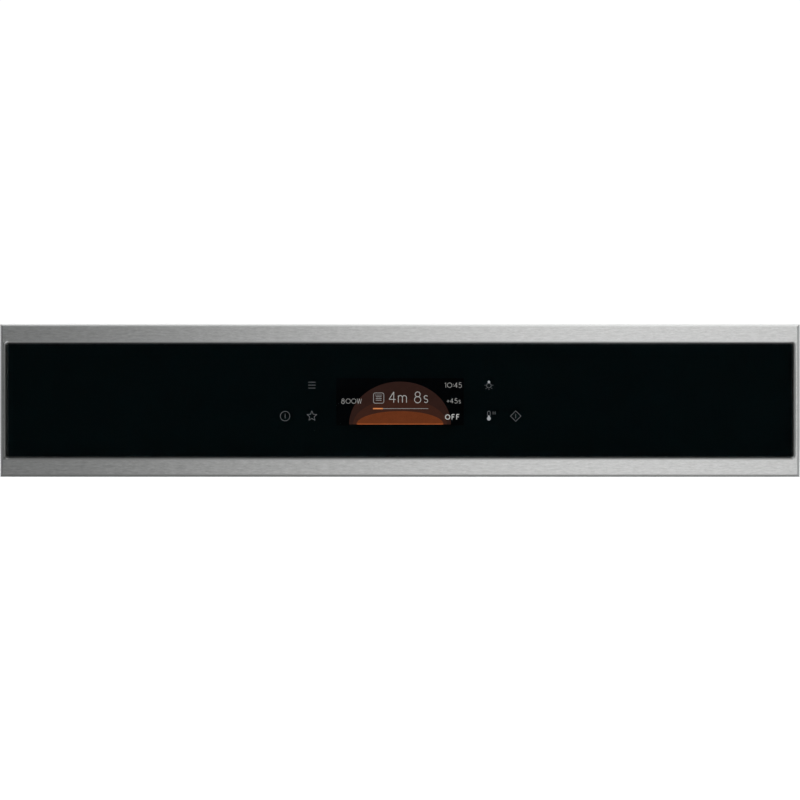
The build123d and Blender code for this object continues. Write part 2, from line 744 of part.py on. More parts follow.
def screw(length):
    """Hexagon-head screw along the depth, its head's seat at zero and its tip in front."""
    head = RegularPolygon(SCREW_HEAD_RADIUS, 6, major_radius=False)
    return slab(small_round(SCREW_RADIUS), -length, 0) + slab(head, 0, SCREW_HEAD_THICKNESS)


def screws(places, seat, grip, length):
    """Equal screws whose heads bear at one depth, through a grip into the carrier."""
    one = screw(grip + length - SCREW_TIP_GAP)
    return [Pos(x, seat, z) * one for x, z in places]


def cover_outline(grow):
    width = 2 * (COVER_HALF_W + grow)
    height = 2 * (COVER_HALF_H + grow)
    return rounded(width, height, COVER_RADIUS + grow, z=UI_Z)


def cover_shape(inset, back):
    """Drafted block from the carrier's plate to a depth, narrower towards the back."""
    plane = Plane(origin=(0, PLATE_BACK, 0), x_dir=(-1, 0, 0), z_dir=(0, 1, 0))
    return extrude(plane * cover_outline(-inset), amount=back - PLATE_BACK, taper=COVER_DRAFT)


def vents():
    z = UI_Z + VENT_RISE
    slots = []
    for x in spread(VENT_COUNT, VENT_PITCH * (VENT_COUNT - 1)):
        outline = rectangle(VENT_WIDTH, VENT_LENGTH, x, z)
        slots.append(through(outline, COVER_INNER_BACK, COVER_BACK))
    return slots


def cover_ear(x, z):
    """Ear on the cover's side wall, round its screw."""
    reach = EAR_REACH + COVER_WALL
    middle = x - reach / 2 if x > 0 else x + reach / 2
    outline = small_round(EAR_RADIUS, x, z) + rectangle(reach, 2 * EAR_RADIUS, middle, z)
    return slab(outline, EAR_FRONT, EAR_BACK)


def electronics_cover():
    outside = cover_shape(0, COVER_BACK)
    outside = chamfer(outside.faces().sort_by(Axis.Y)[-1].edges(), COVER_EDGE_BEVEL)
    body = outside + [cover_ear(x, z) for x, z in ear_places()]
    inside = cover_shape(COVER_WALL, COVER_INNER_BACK)
    header = rectangle(HEADER_WIDTH + 2 * HEADER_GAP, HEADER_HEIGHT + 2 * HEADER_GAP, HEADER_X, HEADER_Z)
    header_hole = through(header, COVER_INNER_BACK, COVER_BACK)
    holes = [through(screw_hole(x, z), EAR_FRONT, EAR_BACK) for x, z in ear_places()]
    return body - ([inside, header_hole] + holes + vents())


def top_rail():
    """Folded rail: up the carrier's plate, back over the cover, and up again at the rear."""
    half = RAIL_SHEET / 2
    top = PANEL_HEIGHT - WALL_INNER_LOW - BRACKET_CLEARANCE
    web = RAIL_Z - half
    rear = TOTAL_DEPTH - half
    points = [(PLATE_BACK + half, top), (PLATE_BACK + half, web), (rear, web), (rear, web + RAIL_LIP)]
    rail = along_width(fold_strip(points, RAIL_SHEET, RAIL_BEND), -RAIL_HALF, RAIL_HALF)
    studs = stud_holes(PLATE_BACK, NUT_FRONT)
    web_low, web_high = RAIL_Z - 2 * RAIL_SHEET, RAIL_Z + RAIL_SHEET
    holes = [
        along_height(Pos(x, RAIL_HOLE_DEPTH) * Circle(RAIL_HOLE_RADIUS), web_low, web_high)
        for x in (RAIL_HOLE_INSET - RAIL_HALF, RAIL_HALF - RAIL_HOLE_INSET)
    ]
    slot = chamfered(RAIL_SLOT_LENGTH, RAIL_SLOT_WIDTH, RAIL_BEND, z=(NUT_FRONT + TOTAL_DEPTH) / 2)
    count = int((RAIL_HALF - RAIL_HOLE_INSET) / RAIL_SLOT_PITCH) * 2 + 1
    slots = [
        along_height(Pos(x, 0) * slot, web_low, web_high)
        for x in spread(count, RAIL_SLOT_PITCH * (count - 1))
    ]
    return rail - (studs + holes + slots)


def end_bracket(side):
    """Channel at one end, open towards the middle, that bolts to the oven's front frame."""
    half = RAIL_SHEET / 2
    front, rear = PLATE_BACK + half, TOTAL_DEPTH - half
    inner, web = side * BRACKET_INNER, side * (BRACKET_OUTER - half)
    section = fold_strip([(inner, front), (web, front), (web, rear), (inner, rear)], RAIL_SHEET, RAIL_BEND)
    low = WALL_INNER_LOW + BRACKET_CLEARANCE
    channel = along_height(section, low, PANEL_HEIGHT - low)
    x = side * STUD_OUTER
    cuts = stud_holes(PLATE_BACK, NUT_FRONT)
    for z in (0, PANEL_HEIGHT):
        driver_notch = rectangle(DRIVER_NOTCH, 2 * STUD_Z + DRIVER_NOTCH, x, z)
        cuts.append(through(driver_notch, TOTAL_DEPTH - RAIL_SHEET, TOTAL_DEPTH))
    for z in (MID_Z - FRAME_HOLE_ROW / 2, MID_Z + FRAME_HOLE_ROW / 2):
        cuts.append(through(disc(FRAME_HOLE_RADIUS, x, z), TOTAL_DEPTH - RAIL_SHEET, TOTAL_DEPTH))
    middle = (PLATE_BACK + TOTAL_DEPTH) / 2
    web_slot = chamfered(WEB_SLOT_WIDTH, WEB_SLOT_LENGTH, WEB_SLOT_WIDTH / 4, middle, MID_Z)
    cuts.append(along_width(web_slot, web - 2 * RAIL_SHEET, web + 2 * RAIL_SHEET))
    if side < 0:
        earth_hole = small_round(SCREW_RADIUS + THREAD_CLEARANCE, middle, PANEL_HEIGHT - TAB_DROP)
        cuts.append(along_width(earth_hole, web - 2 * RAIL_SHEET, web + 2 * RAIL_SHEET))
    return channel - cuts


def guide_section(with_tab):
    """Middle line of the air guide, with or without its upright tab at the front."""
    half = RAIL_SHEET / 2
    web = WALL_INNER_LOW + half
    front = PLATE_BACK + half
    drop = RETURN_DEPTH + GUIDE_JOGGLE_GAP
    rear = TOTAL_DEPTH - half
    start = [(front, GUIDE_TAB_TOP), (front, web)] if with_tab else [(WALL_BACK / 2, web)]
    return start + [(drop, web), (drop + GUIDE_JOGGLE_RUN, half), (rear, half), (rear, GUIDE_LIP)]


def air_guide():
    """Sheet on the carrier's lower wall that steps down behind the fold of the fascia."""
    half_tab = GUIDE_TAB_WIDTH / 2
    guide = along_width(fold_strip(guide_section(False), RAIL_SHEET, RAIL_BEND), -RAIL_HALF, RAIL_HALF)
    tab_section = fold_strip(guide_section(True), RAIL_SHEET, RAIL_BEND)
    inner_studs = [x for x, z in stud_places() if z < MID_Z and abs(x) < RAIL_HALF - half_tab]
    guide = guide + [along_width(tab_section, x - half_tab, x + half_tab) for x in inner_studs]
    studs = stud_holes(PLATE_BACK, NUT_FRONT)
    middle = (RETURN_DEPTH + GUIDE_JOGGLE_GAP + GUIDE_JOGGLE_RUN + TOTAL_DEPTH) / 2
    slot = rectangle(GUIDE_SLOT_LENGTH, GUIDE_SLOT_WIDTH, z=middle)
    count = int((2 * RAIL_HALF - 2 * GUIDE_SLOT_INSET) / GUIDE_SLOT_PITCH)
    slots = [
        along_height(Pos(x, 0) * slot, -RAIL_SHEET, 2 * RAIL_SHEET)
        for x in spread(count, GUIDE_SLOT_PITCH * (count - 1))
    ]
    return guide - (studs + slots)


def earth_tab():
    """Flat blade on the left bracket's web, bent inwards for its push-on terminal."""
    face = -BRACKET_OUTER + RAIL_SHEET
    x = face + TAB_THICKNESS / 2
    z = PANEL_HEIGHT - TAB_DROP
    middle = (PLATE_BACK + TOTAL_DEPTH) / 2
    points = [(x, z + TAB_WIDTH / 2), (x, z - TAB_WIDTH), (x + TAB_LIFT, z - TAB_WIDTH - TAB_LENGTH)]
    outline = fold_strip(points, TAB_THICKNESS, RAIL_BEND)
    plane = Plane(origin=(0, middle + TAB_WIDTH / 2, 0), x_dir=(1, 0, 0), z_dir=(0, -1, 0))
    blade = extrude(plane * outline, amount=TAB_WIDTH)
    return blade - along_width(screw_hole(middle, z), face - STEEL, face + TAB_THICKNESS + STEEL)


def earth_screw():
    z = PANEL_HEIGHT - TAB_DROP
    middle = (PLATE_BACK + TOTAL_DEPTH) / 2
    seat = -BRACKET_OUTER + RAIL_SHEET + TAB_THICKNESS
    turned = Rot(0, 0, -90) * screw(SCREW_LENGTH)
    return Pos(seat, middle, z) * turned


def pieces():
    touch_screws = [touch_screw_place(-1), touch_screw_place(1)]
    bracket_back = DISPLAY_BACK + RAIL_SHEET
    short = SHORT_SCREW_LENGTH
    return {
        "steel_fascia": steel_fascia(),
        "fascia_studs": fascia_studs(),
        "stud_nuts": stud_nuts(),
        "control_glass": control_glass(),
        "mask_film": mask_film(),
        "glass_tape": glass_tape(),
        "glass_carrier": glass_carrier(),
        "display_gasket": display_gasket(),
        "display_frame": display_frame(),
        "lcd_cell": display_layer(CELL_FRONT, CELL_BACK),
        "backlight": display_layer(CELL_BACK, BACKLIGHT_BACK),
        "display_back": display_layer(BACKLIGHT_BACK, DISPLAY_BACK),
        "display_bracket": display_bracket(),
        "display_bracket_screws": screws(bracket_screw_places(), bracket_back, RAIL_SHEET, short),
        "display_flex": display_flex(),
        "touch_board_left": touch_board(-1),
        "touch_board_right": touch_board(1),
        "touch_pads": touch_pads(),
        "key_leds": key_leds(),
        "touch_board_screws": screws(touch_screws, TOUCH_BACK, BOARD_THICKNESS, short),
        "touch_ribbons": touch_ribbons(),
        "main_board": main_board(),
        "processor_chip": processor_chip(),
        "memory_chips": memory_chips(),
        "capacitors": capacitors(),
        "buzzer": buzzer(),
        "ribbon_connectors": ribbon_connectors(),
        "flex_connector": flex_connector(),
        "loom_header": loom_header(),
        "loom_pins": loom_pins(),
        "main_board_screws": screws(board_screw_places(), BOARD_BACK, BOARD_THICKNESS, SCREW_LENGTH),
        "electronics_cover": electronics_cover(),
        "cover_screws": screws(ear_places(), EAR_BACK, EAR_THICKNESS, SCREW_LENGTH),
        "top_rail": top_rail(),
        "end_bracket_left": end_bracket(-1),
        "end_bracket_right": end_bracket(1),
        "air_guide": air_guide(),
        "earth_tab": earth_tab(),
        "earth_screw": earth_screw(),
    }


def export(name, shape):
    """Writes one piece, or a group of equal pieces, with the panel centred on the origin."""
    solids = shape if isinstance(shape, list) else [shape]
    group = Compound(children=[solid for part in solids for solid in part.solids()])
    export_step(Pos(0, -TOTAL_DEPTH / 2, 0) * group, f"parts/{name}.step")


os.makedirs("parts", exist_ok=True)
for piece_name, piece in pieces().items():
    export(piece_name, piece)
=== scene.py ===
import json
import math

import bmesh
import bpy
from mathutils import Matrix, Vector


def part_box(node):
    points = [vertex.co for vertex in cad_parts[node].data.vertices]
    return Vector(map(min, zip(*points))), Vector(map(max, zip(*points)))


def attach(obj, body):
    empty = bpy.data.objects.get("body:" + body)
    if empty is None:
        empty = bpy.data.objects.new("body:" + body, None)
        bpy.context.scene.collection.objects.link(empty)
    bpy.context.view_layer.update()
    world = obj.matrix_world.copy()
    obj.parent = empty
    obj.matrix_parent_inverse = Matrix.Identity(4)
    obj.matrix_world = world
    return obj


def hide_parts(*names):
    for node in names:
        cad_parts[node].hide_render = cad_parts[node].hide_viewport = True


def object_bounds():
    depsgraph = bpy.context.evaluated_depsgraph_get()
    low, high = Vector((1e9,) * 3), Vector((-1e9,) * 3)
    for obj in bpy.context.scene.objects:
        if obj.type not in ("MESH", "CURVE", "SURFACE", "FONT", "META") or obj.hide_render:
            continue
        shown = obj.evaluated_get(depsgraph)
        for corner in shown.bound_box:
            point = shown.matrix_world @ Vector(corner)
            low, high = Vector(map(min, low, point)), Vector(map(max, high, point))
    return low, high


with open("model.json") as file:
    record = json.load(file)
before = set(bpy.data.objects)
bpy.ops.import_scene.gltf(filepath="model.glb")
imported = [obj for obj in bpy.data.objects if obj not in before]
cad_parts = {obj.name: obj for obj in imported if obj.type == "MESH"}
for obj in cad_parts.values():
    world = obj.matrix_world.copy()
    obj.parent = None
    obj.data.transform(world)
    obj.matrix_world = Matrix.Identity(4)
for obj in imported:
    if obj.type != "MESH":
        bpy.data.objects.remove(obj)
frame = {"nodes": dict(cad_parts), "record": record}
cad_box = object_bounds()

# Control panel of a built-in combi oven. Its front looks towards -Y, its middle stands over the
# origin, and its lower edge is at height 0. Pieces are drawn in millimetres and end up in metres,
# and the floor and the lights are in metres from the start.
MM = 0.001
PANEL_LOW, PANEL_HIGH = cad_box

# The camera stands at VIEW_HEIGHT, and its square image is as wide as the panel.
IMAGE_WIDTH = 800
PIXEL = (PANEL_HIGH.x - PANEL_LOW.x) / MM / IMAGE_WIDTH
VIEW_HEIGHT = 57.2

# Places in depth, along Y
GLASS_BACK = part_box("control_glass")[1].y / MM
CELL_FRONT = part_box("lcd_cell")[0].y / MM


# Shader building blocks


def new_finish(name, colour, roughness, metallic=0.0, **sockets):
    """A material with one Principled shader. Returns the material and its shader."""
    finish = bpy.data.materials.new(name)
    finish.use_nodes = True
    shader = finish.node_tree.nodes["Principled BSDF"]
    shader.inputs["Base Color"].default_value = (*colour, 1.0)
    shader.inputs["Roughness"].default_value = roughness
    shader.inputs["Metallic"].default_value = metallic
    for socket, value in sockets.items():
        shader.inputs[socket.replace("_", " ")].default_value = value
    return finish, shader


def math_node(tree, operation, first, second=None, third=None):
    """One step of arithmetic on numbers or sockets."""
    node = tree.nodes.new("ShaderNodeMath")
    node.operation = operation
    for socket, value in zip(node.inputs, (first, second, third)):
        if isinstance(value, (int, float)):
            socket.default_value = value
        elif value is not None:
            tree.links.new(value, socket)
    return node.outputs[0]


def axes_of(tree, vector):
    """The X, Y and Z of a vector."""
    split = tree.nodes.new("ShaderNodeSeparateXYZ")
    tree.links.new(vector, split.inputs[0])
    return split.outputs


def piece_spot(tree):
    """The spot's Object coordinates, in metres."""
    return tree.nodes.new("ShaderNodeTexCoord").outputs["Object"]


def outward(tree):
    """The direction that the surface looks in."""
    return tree.nodes.new("ShaderNodeNewGeometry").outputs["Normal"]


def stretched(tree, coords, scale):
    """Coordinates with each axis times its own scale."""
    stretch = tree.nodes.new("ShaderNodeMapping")
    stretch.inputs["Scale"].default_value = scale
    tree.links.new(coords, stretch.inputs["Vector"])
    return stretch.outputs["Vector"]


def piece_coords(tree, scale=(1.0, 1.0, 1.0)):
    """Object coordinates, stretched by scale."""
    return stretched(tree, piece_spot(tree), scale)


def speckle(tree, coords, scale, detail=3.0, roughness=0.55):
    """Noise from 0 to 1, with scale waves to a metre."""
    noise = tree.nodes.new("ShaderNodeTexNoise")
    noise.inputs["Scale"].default_value = scale
    noise.inputs["Detail"].default_value = detail
    noise.inputs["Roughness"].default_value = roughness
    tree.links.new(coords, noise.inputs["Vector"])
    return noise.outputs["Fac"]


def between(tree, value, low, high, from_low=0.3, from_high=0.7):
    """A number that runs from low to high while value runs over the given stretch."""
    node = tree.nodes.new("ShaderNodeMapRange")
    node.inputs["From Min"].default_value = from_low
    node.inputs["From Max"].default_value = from_high
    node.inputs["To Min"].default_value = low
    node.inputs["To Max"].default_value = high
    tree.links.new(value, node.inputs["Value"])
    return node.outputs["Result"]


def colour_run(tree, value, stops):
    """A colour ramp through (position, colour) stops."""
    ramp = tree.nodes.new("ShaderNodeValToRGB")
    elements = ramp.color_ramp.elements
    while len(elements) < len(stops):
        elements.new(0.5)
    for element, (position, colour) in zip(elements, stops):
        element.position = position
        element.color = (*colour, 1.0)
    tree.links.new(value, ramp.inputs["Fac"])
    return ramp.outputs["Color"]


def tint(tree, shader, value, stops):
    """Colours the shader with a ramp that value runs along."""
    tree.links.new(colour_run(tree, value, stops), shader.inputs["Base Color"])


def polish(tree, shader, value, low, high, from_low=0.3, from_high=0.7):
    """Lets the shader's roughness run from low to high with value."""
    roughness = between(tree, value, low, high, from_low, from_high)
    tree.links.new(roughness, shader.inputs["Roughness"])


def relief(tree, shader, height, distance, strength):
    """Bump of the given depth in metres on the shader's normal."""
    bump = tree.nodes.new("ShaderNodeBump")
    bump.inputs["Distance"].default_value = distance
    bump.inputs["Strength"].default_value = strength
    tree.links.new(height, bump.inputs["Height"])
    tree.links.new(bump.outputs["Normal"], shader.inputs["Normal"])


# Brushed steel

# Waves to a metre along and across the brushing.
FINE_LINES = (420.0, 3600.0, 1.0)
COARSE_LINES = (150.0, 700.0, 1.0)

# The steel's colour darkens towards the window with a painted shade, over the shade's width, which
# lies a little towards the lower left. Up to LIP_END from the window the steel belongs to the lip,
# and from FOLD_START to the folds. The rounded upper edges get a painted highlight.
LIP_SHADE = 2.2
LIP_DARKEST = 0.15
SHADE_SHIFT = (1.6, 0.7)
LIP_END = 6.0
FOLD_START = 8.0
# Strength of the painted highlight on the rounded upper edges.
PAINTED_EDGE_HIGHLIGHT = 0.38


def sheet_direction(tree):
    """Coordinates along and across the brushing, which follow the sheet round its folds, and the
    direction across the brushing, in which brushed steel draws out its reflections."""
    normal = axes_of(tree, outward(tree))
    spot = axes_of(tree, piece_spot(tree))
    on_side = math_node(tree, "ABSOLUTE", normal["X"])
    on_fold = math_node(tree, "ABSOLUTE", normal["Z"])
    not_side = math_node(tree, "SUBTRACT", 1.0, on_side)
    not_fold = math_node(tree, "SUBTRACT", 1.0, on_fold)
    depth_on_side = math_node(tree, "MULTIPLY", spot["Y"], on_side)
    depth_on_fold = math_node(tree, "MULTIPLY", spot["Y"], on_fold)
    pattern = tree.nodes.new("ShaderNodeCombineXYZ")
    along = math_node(tree, "MULTIPLY_ADD", spot["X"], not_side, depth_on_side)
    across = math_node(tree, "MULTIPLY_ADD", spot["Z"], not_fold, depth_on_fold)
    tree.links.new(along, pattern.inputs["X"])
    tree.links.new(across, pattern.inputs["Y"])
    sheen = tree.nodes.new("ShaderNodeCombineXYZ")
    tree.links.new(on_fold, sheen.inputs["Y"])
    tree.links.new(not_fold, sheen.inputs["Z"])
    return pattern.outputs[0], sheen.outputs[0]


def from_window(tree):
    """Distance of the spot from the edge of the painted shade round the window, in metres."""
    low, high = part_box("control_glass")
    middle = (low + high) / 2
    reach = (high - low) / 2
    spot = axes_of(tree, piece_spot(tree))
    off_x = math_node(tree, "SUBTRACT", spot["X"], middle.x - SHADE_SHIFT[0] * MM)
    off_z = math_node(tree, "SUBTRACT", spot["Z"], middle.z - SHADE_SHIFT[1] * MM)
    sideways = math_node(tree, "SUBTRACT", math_node(tree, "ABSOLUTE", off_x), reach.x)
    upwards = math_node(tree, "SUBTRACT", math_node(tree, "ABSOLUTE", off_z), reach.z)
    return math_node(tree, "MAXIMUM", sideways, upwards)


def upper_rounding(tree, beyond_window):
    """Mask of the painted highlight: 1 half way round the top fold and the upper lip, 0 on the
    flat and below.
    """
    normal = axes_of(tree, outward(tree))
    fold_or_lip = between(tree, beyond_window, -1.0, 1.0, LIP_END * MM, FOLD_START * MM)
    turned_away = math_node(tree, "MULTIPLY", normal["Z"], fold_or_lip)
    turned_away = math_node(tree, "MAXIMUM", turned_away, 0.0)
    left_to_turn = math_node(tree, "MULTIPLY_ADD", turned_away, -4.0, 4.0)
    return math_node(tree, "MULTIPLY", turned_away, left_to_turn)


def brushed_steel():
    """Brushed stainless sheet with painted shade on the rolled lip and painted highlight on its
    upper edges.
    """
    finish, shader = new_finish(
        "brushed_steel_finish", (0.6, 0.6, 0.6), 0.36, metallic=1.0, Anisotropic=0.9
    )
    tree = finish.node_tree
    sheet, sheen = sheet_direction(tree)
    fine = speckle(tree, stretched(tree, sheet, FINE_LINES), 1.0, detail=4.0, roughness=0.6)
    coarse = speckle(tree, stretched(tree, sheet, COARSE_LINES), 1.0, detail=4.0, roughness=0.7)
    coarse_share = math_node(tree, "MULTIPLY", coarse, 0.6)
    lines = math_node(tree, "MULTIPLY_ADD", fine, 0.4, coarse_share)
    colour = colour_run(tree, lines, [(0.34, (0.46, 0.46, 0.455)), (0.66, (0.72, 0.72, 0.715))])
    beyond_window = from_window(tree)
    # Painted shade: the steel's colour darkens towards the window's edge, down to LIP_DARKEST.
    lip = between(tree, beyond_window, LIP_DARKEST, 1.0, 0.0, LIP_SHADE * MM)
    # Painted highlight: the steel's colour brightens round the top fold and the upper lip.
    rounding = upper_rounding(tree, beyond_window)
    shaded = tree.nodes.new("ShaderNodeVectorMath")
    shaded.operation = "SCALE"
    tree.links.new(colour, shaded.inputs[0])
    tree.links.new(
        math_node(tree, "MULTIPLY_ADD", rounding, PAINTED_EDGE_HIGHLIGHT, lip), shaded.inputs["Scale"]
    )
    tree.links.new(shaded.outputs[0], shader.inputs["Base Color"])
    polish(tree, shader, lines, 0.40, 0.50)
    tree.links.new(sheen, shader.inputs["Tangent"])
    relief(tree, shader, fine, 0.000004, 0.5)
    return finish


# Other metals


def zinc_sheet():
    """Galvanised sheet with its spangle."""
    finish, shader = new_finish("galvanised_finish", (0.5, 0.52, 0.54), 0.5, metallic=1.0)
    tree = finish.node_tree
    coords = piece_coords(tree)
    wobble = tree.nodes.new("ShaderNodeTexNoise")
    wobble.inputs["Scale"].default_value = 180.0
    tree.links.new(coords, wobble.inputs["Vector"])
    bend = tree.nodes.new("ShaderNodeVectorMath")
    bend.operation = "MULTIPLY_ADD"
    bend.inputs[1].default_value = (0.003, 0.003, 0.003)
    tree.links.new(wobble.outputs["Color"], bend.inputs[0])
    tree.links.new(coords, bend.inputs[2])
    spangle = tree.nodes.new("ShaderNodeTexVoronoi")
    spangle.inputs["Scale"].default_value = 230.0
    tree.links.new(bend.outputs[0], spangle.inputs["Vector"])
    crystal = tree.nodes.new("ShaderNodeSeparateColor")
    tree.links.new(spangle.outputs["Color"], crystal.inputs[0])
    feather = speckle(tree, piece_coords(tree), 900.0)
    feather_share = math_node(tree, "MULTIPLY", feather, 0.3)
    tone = math_node(tree, "MULTIPLY_ADD", crystal.outputs[0], 0.7, feather_share)
    stops = [(0.1, (0.42, 0.44, 0.46)), (0.5, (0.52, 0.54, 0.555)), (0.9, (0.66, 0.675, 0.69))]
    tint(tree, shader, tone, stops)
    polish(tree, shader, tone, 0.44, 0.6, 0.1, 0.9)
    relief(tree, shader, crystal.outputs[0], 0.00002, 0.3)
    return finish


def plated_steel():
    """Bright zinc plating of the screws, studs and nuts."""
    finish, shader = new_finish("zinc_plating", (0.62, 0.64, 0.66), 0.28, metallic=1.0)
    tree = finish.node_tree
    cloud = speckle(tree, piece_coords(tree), 1400.0)
    tint(tree, shader, cloud, [(0.3, (0.52, 0.54, 0.56)), (0.7, (0.7, 0.71, 0.72))])
    polish(tree, shader, cloud, 0.22, 0.36)
    return finish


def tinned_pin():
    """Tinned brass of the socket's pins."""
    finish, shader = new_finish("tinned_brass", (0.78, 0.77, 0.74), 0.24, metallic=1.0)
    tree = finish.node_tree
    polish(tree, shader, speckle(tree, piece_coords(tree), 2500.0), 0.18, 0.32)
    return finish


def brass():
    """Rubbed brass of the earth tab."""
    finish, shader = new_finish("brass_finish", (0.75, 0.55, 0.22), 0.3, metallic=1.0)
    tree = finish.node_tree
    rub = speckle(tree, piece_coords(tree, (1.0, 1.0, 6.0)), 800.0)
    tint(tree, shader, rub, [(0.3, (0.64, 0.45, 0.17)), (0.7, (0.8, 0.6, 0.26))])
    polish(tree, shader, rub, 0.24, 0.38)
    return finish


# Glass, print and foam


def clear_glass():
    """Clear glass with faint marks of wiping."""
    finish, shader = new_finish(
        "panel_glass", (0.93, 0.96, 0.96), 0.0,
        Transmission_Weight=1.0, IOR=1.5, Specular_IOR_Level=0.5,
    )
    tree = finish.node_tree
    wipe = speckle(tree, piece_coords(tree, (1.0, 1.0, 2.5)), 30.0, detail=5.0)
    polish(tree, shader, wipe, 0.0, 0.012, 0.5, 0.8)
    return finish


def black_print():
    """Matt black print behind the glass."""
    finish, shader = new_finish(
        "black_ceramic_print", (0.0008, 0.002, 0.0024), 0.6, Specular_IOR_Level=0.02
    )
    tree = finish.node_tree
    dots = speckle(tree, piece_coords(tree), 5000.0)
    tint(tree, shader, dots, [(0.3, (0.0008, 0.0068, 0.0083)), (0.7, (0.0012, 0.0080, 0.0097))])
    return finish


def black_foam():
    """Black foam with its open cells."""
    finish, shader = new_finish("black_foam_finish", (0.02, 0.02, 0.021), 0.95)
    tree = finish.node_tree
    cells = tree.nodes.new("ShaderNodeTexVoronoi")
    cells.inputs["Scale"].default_value = 2600.0
    tree.links.new(piece_coords(tree), cells.inputs["Vector"])
    stops = [(0.0, (0.008, 0.008, 0.009)), (0.6, (0.03, 0.03, 0.031))]
    tint(tree, shader, cells.outputs["Distance"], stops)
    relief(tree, shader, cells.outputs["Distance"], 0.0001, 0.6)
    return finish


def display_glass():
    """Front of the display's cell: bluish black, with the fine rows of its picture points."""
    finish, shader = new_finish(
        "display_cell_glass", (0.0003, 0.0014, 0.0022), 0.6, Specular_IOR_Level=0.01
    )
    tree = finish.node_tree
    rows = tree.nodes.new("ShaderNodeTexWave")
    rows.bands_direction = "Z"
    rows.inputs["Scale"].default_value = 320.0
    tree.links.new(piece_coords(tree), rows.inputs["Vector"])
    glow = colour_run(tree, rows.outputs["Fac"], [(0.0, (0.4, 0.5, 0.8)), (1.0, (0.6, 0.75, 1.0))])
    tree.links.new(glow, shader.inputs["Emission Color"])
    shader.inputs["Emission Strength"].default_value = 0.0006
    return finish


# Plastics and electronics


def moulded_plastic():
    """Dark mineral-filled plastic with a fine spark-eroded grain and faint flow marks."""
    finish, shader = new_finish("moulded_plastic_finish", (0.028, 0.029, 0.031), 0.5)
    tree = finish.node_tree
    grain = speckle(tree, piece_coords(tree), 2600.0, detail=2.0)
    flow = speckle(tree, piece_coords(tree, (1.0, 1.0, 3.0)), 22.0, detail=4.0)
    tint(tree, shader, flow, [(0.3, (0.023, 0.024, 0.026)), (0.7, (0.034, 0.035, 0.037))])
    polish(tree, shader, flow, 0.46, 0.56)
    relief(tree, shader, grain, 0.00004, 0.5)
    return finish


def white_plastic():
    """Undyed nylon of the sockets."""
    finish, shader = new_finish("natural_nylon", (0.74, 0.71, 0.62), 0.42, Subsurface_Weight=0.1)
    shader.inputs["Subsurface Radius"].default_value = (0.002, 0.0015, 0.001)
    tree = finish.node_tree
    cloud = speckle(tree, piece_coords(tree), 300.0)
    tint(tree, shader, cloud, [(0.3, (0.68, 0.65, 0.55)), (0.7, (0.78, 0.75, 0.66))])
    relief(tree, shader, speckle(tree, piece_coords(tree), 3000.0), 0.00002, 0.4)
    return finish


def circuit_board():
    """Green solder mask over copper tracks."""
    finish, shader = new_finish(
        "green_solder_mask", (0.01, 0.08, 0.03), 0.3, Coat_Weight=0.4, Coat_Roughness=0.15
    )
    tree = finish.node_tree
    tracks = tree.nodes.new("ShaderNodeTexBrick")
    tracks.inputs["Scale"].default_value = 90.0
    tracks.inputs["Mortar Size"].default_value = 0.03
    tracks.inputs["Brick Width"].default_value = 0.9
    tracks.inputs["Row Height"].default_value = 0.16
    tracks.inputs["Color1"].default_value = (0.008, 0.07, 0.026, 1.0)
    tracks.inputs["Color2"].default_value = (0.012, 0.095, 0.036, 1.0)
    tracks.inputs["Mortar"].default_value = (0.03, 0.2, 0.07, 1.0)
    upright = tree.nodes.new("ShaderNodeMapping")
    upright.inputs["Rotation"].default_value = (math.radians(90), 0.0, 0.0)
    tree.links.new(piece_coords(tree), upright.inputs["Vector"])
    tree.links.new(upright.outputs["Vector"], tracks.inputs["Vector"])
    tree.links.new(tracks.outputs["Color"], shader.inputs["Base Color"])
    relief(tree, shader, tracks.outputs["Fac"], 0.00003, 0.5)
    return finish


def chip_resin():
    """Black resin of the chips and the buzzer."""
    finish, shader = new_finish("chip_resin", (0.016, 0.016, 0.017), 0.55)
    tree = finish.node_tree
    grain = speckle(tree, piece_coords(tree), 4000.0)
    tint(tree, shader, grain, [(0.3, (0.011, 0.011, 0.012)), (0.7, (0.022, 0.022, 0.023))])
    relief(tree, shader, grain, 0.00002, 0.4)
    return finish


def can_sleeve():
    """Dark blue shrink sleeve of the capacitors."""
    finish, shader = new_finish("capacitor_sleeve", (0.02, 0.03, 0.06), 0.3)
    tree = finish.node_tree
    cloud = speckle(tree, piece_coords(tree), 500.0)
    tint(tree, shader, cloud, [(0.3, (0.012, 0.02, 0.05)), (0.7, (0.03, 0.042, 0.08))])
    return finish


def flat_cable():
    """White flat cable with its conductors showing through."""
    finish, shader = new_finish("flat_cable_finish", (0.75, 0.76, 0.78), 0.4)
    tree = finish.node_tree
    wires = tree.nodes.new("ShaderNodeTexWave")
    wires.bands_direction = "X"
    wires.inputs["Scale"].default_value = 300.0
    tree.links.new(piece_coords(tree), wires.inputs["Vector"])
    tint(tree, shader, wires.outputs["Fac"], [(0.3, (0.74, 0.75, 0.78)), (0.6, (0.5, 0.5, 0.5))])
    relief(tree, shader, wires.outputs["Fac"], 0.00004, 0.4)
    return finish


# Finishes of the CAD nodes, by material slot

FINISHES = {
    "brushed_steel": brushed_steel(),
    "black_glass": clear_glass(),
    "black_print": black_print(),
    "black_foam": black_foam(),
    "carrier_plastic": moulded_plastic(),
    "zinc_sheet": zinc_sheet(),
    "zinc_screw": plated_steel(),
    "display_glass": display_glass(),
    "white_plastic": white_plastic(),
    "board_green": circuit_board(),
    "chip_black": chip_resin(),
    "can_sleeve": can_sleeve(),
    "tin": tinned_pin(),
    "brass": brass(),
    "flat_cable": flat_cable(),
}

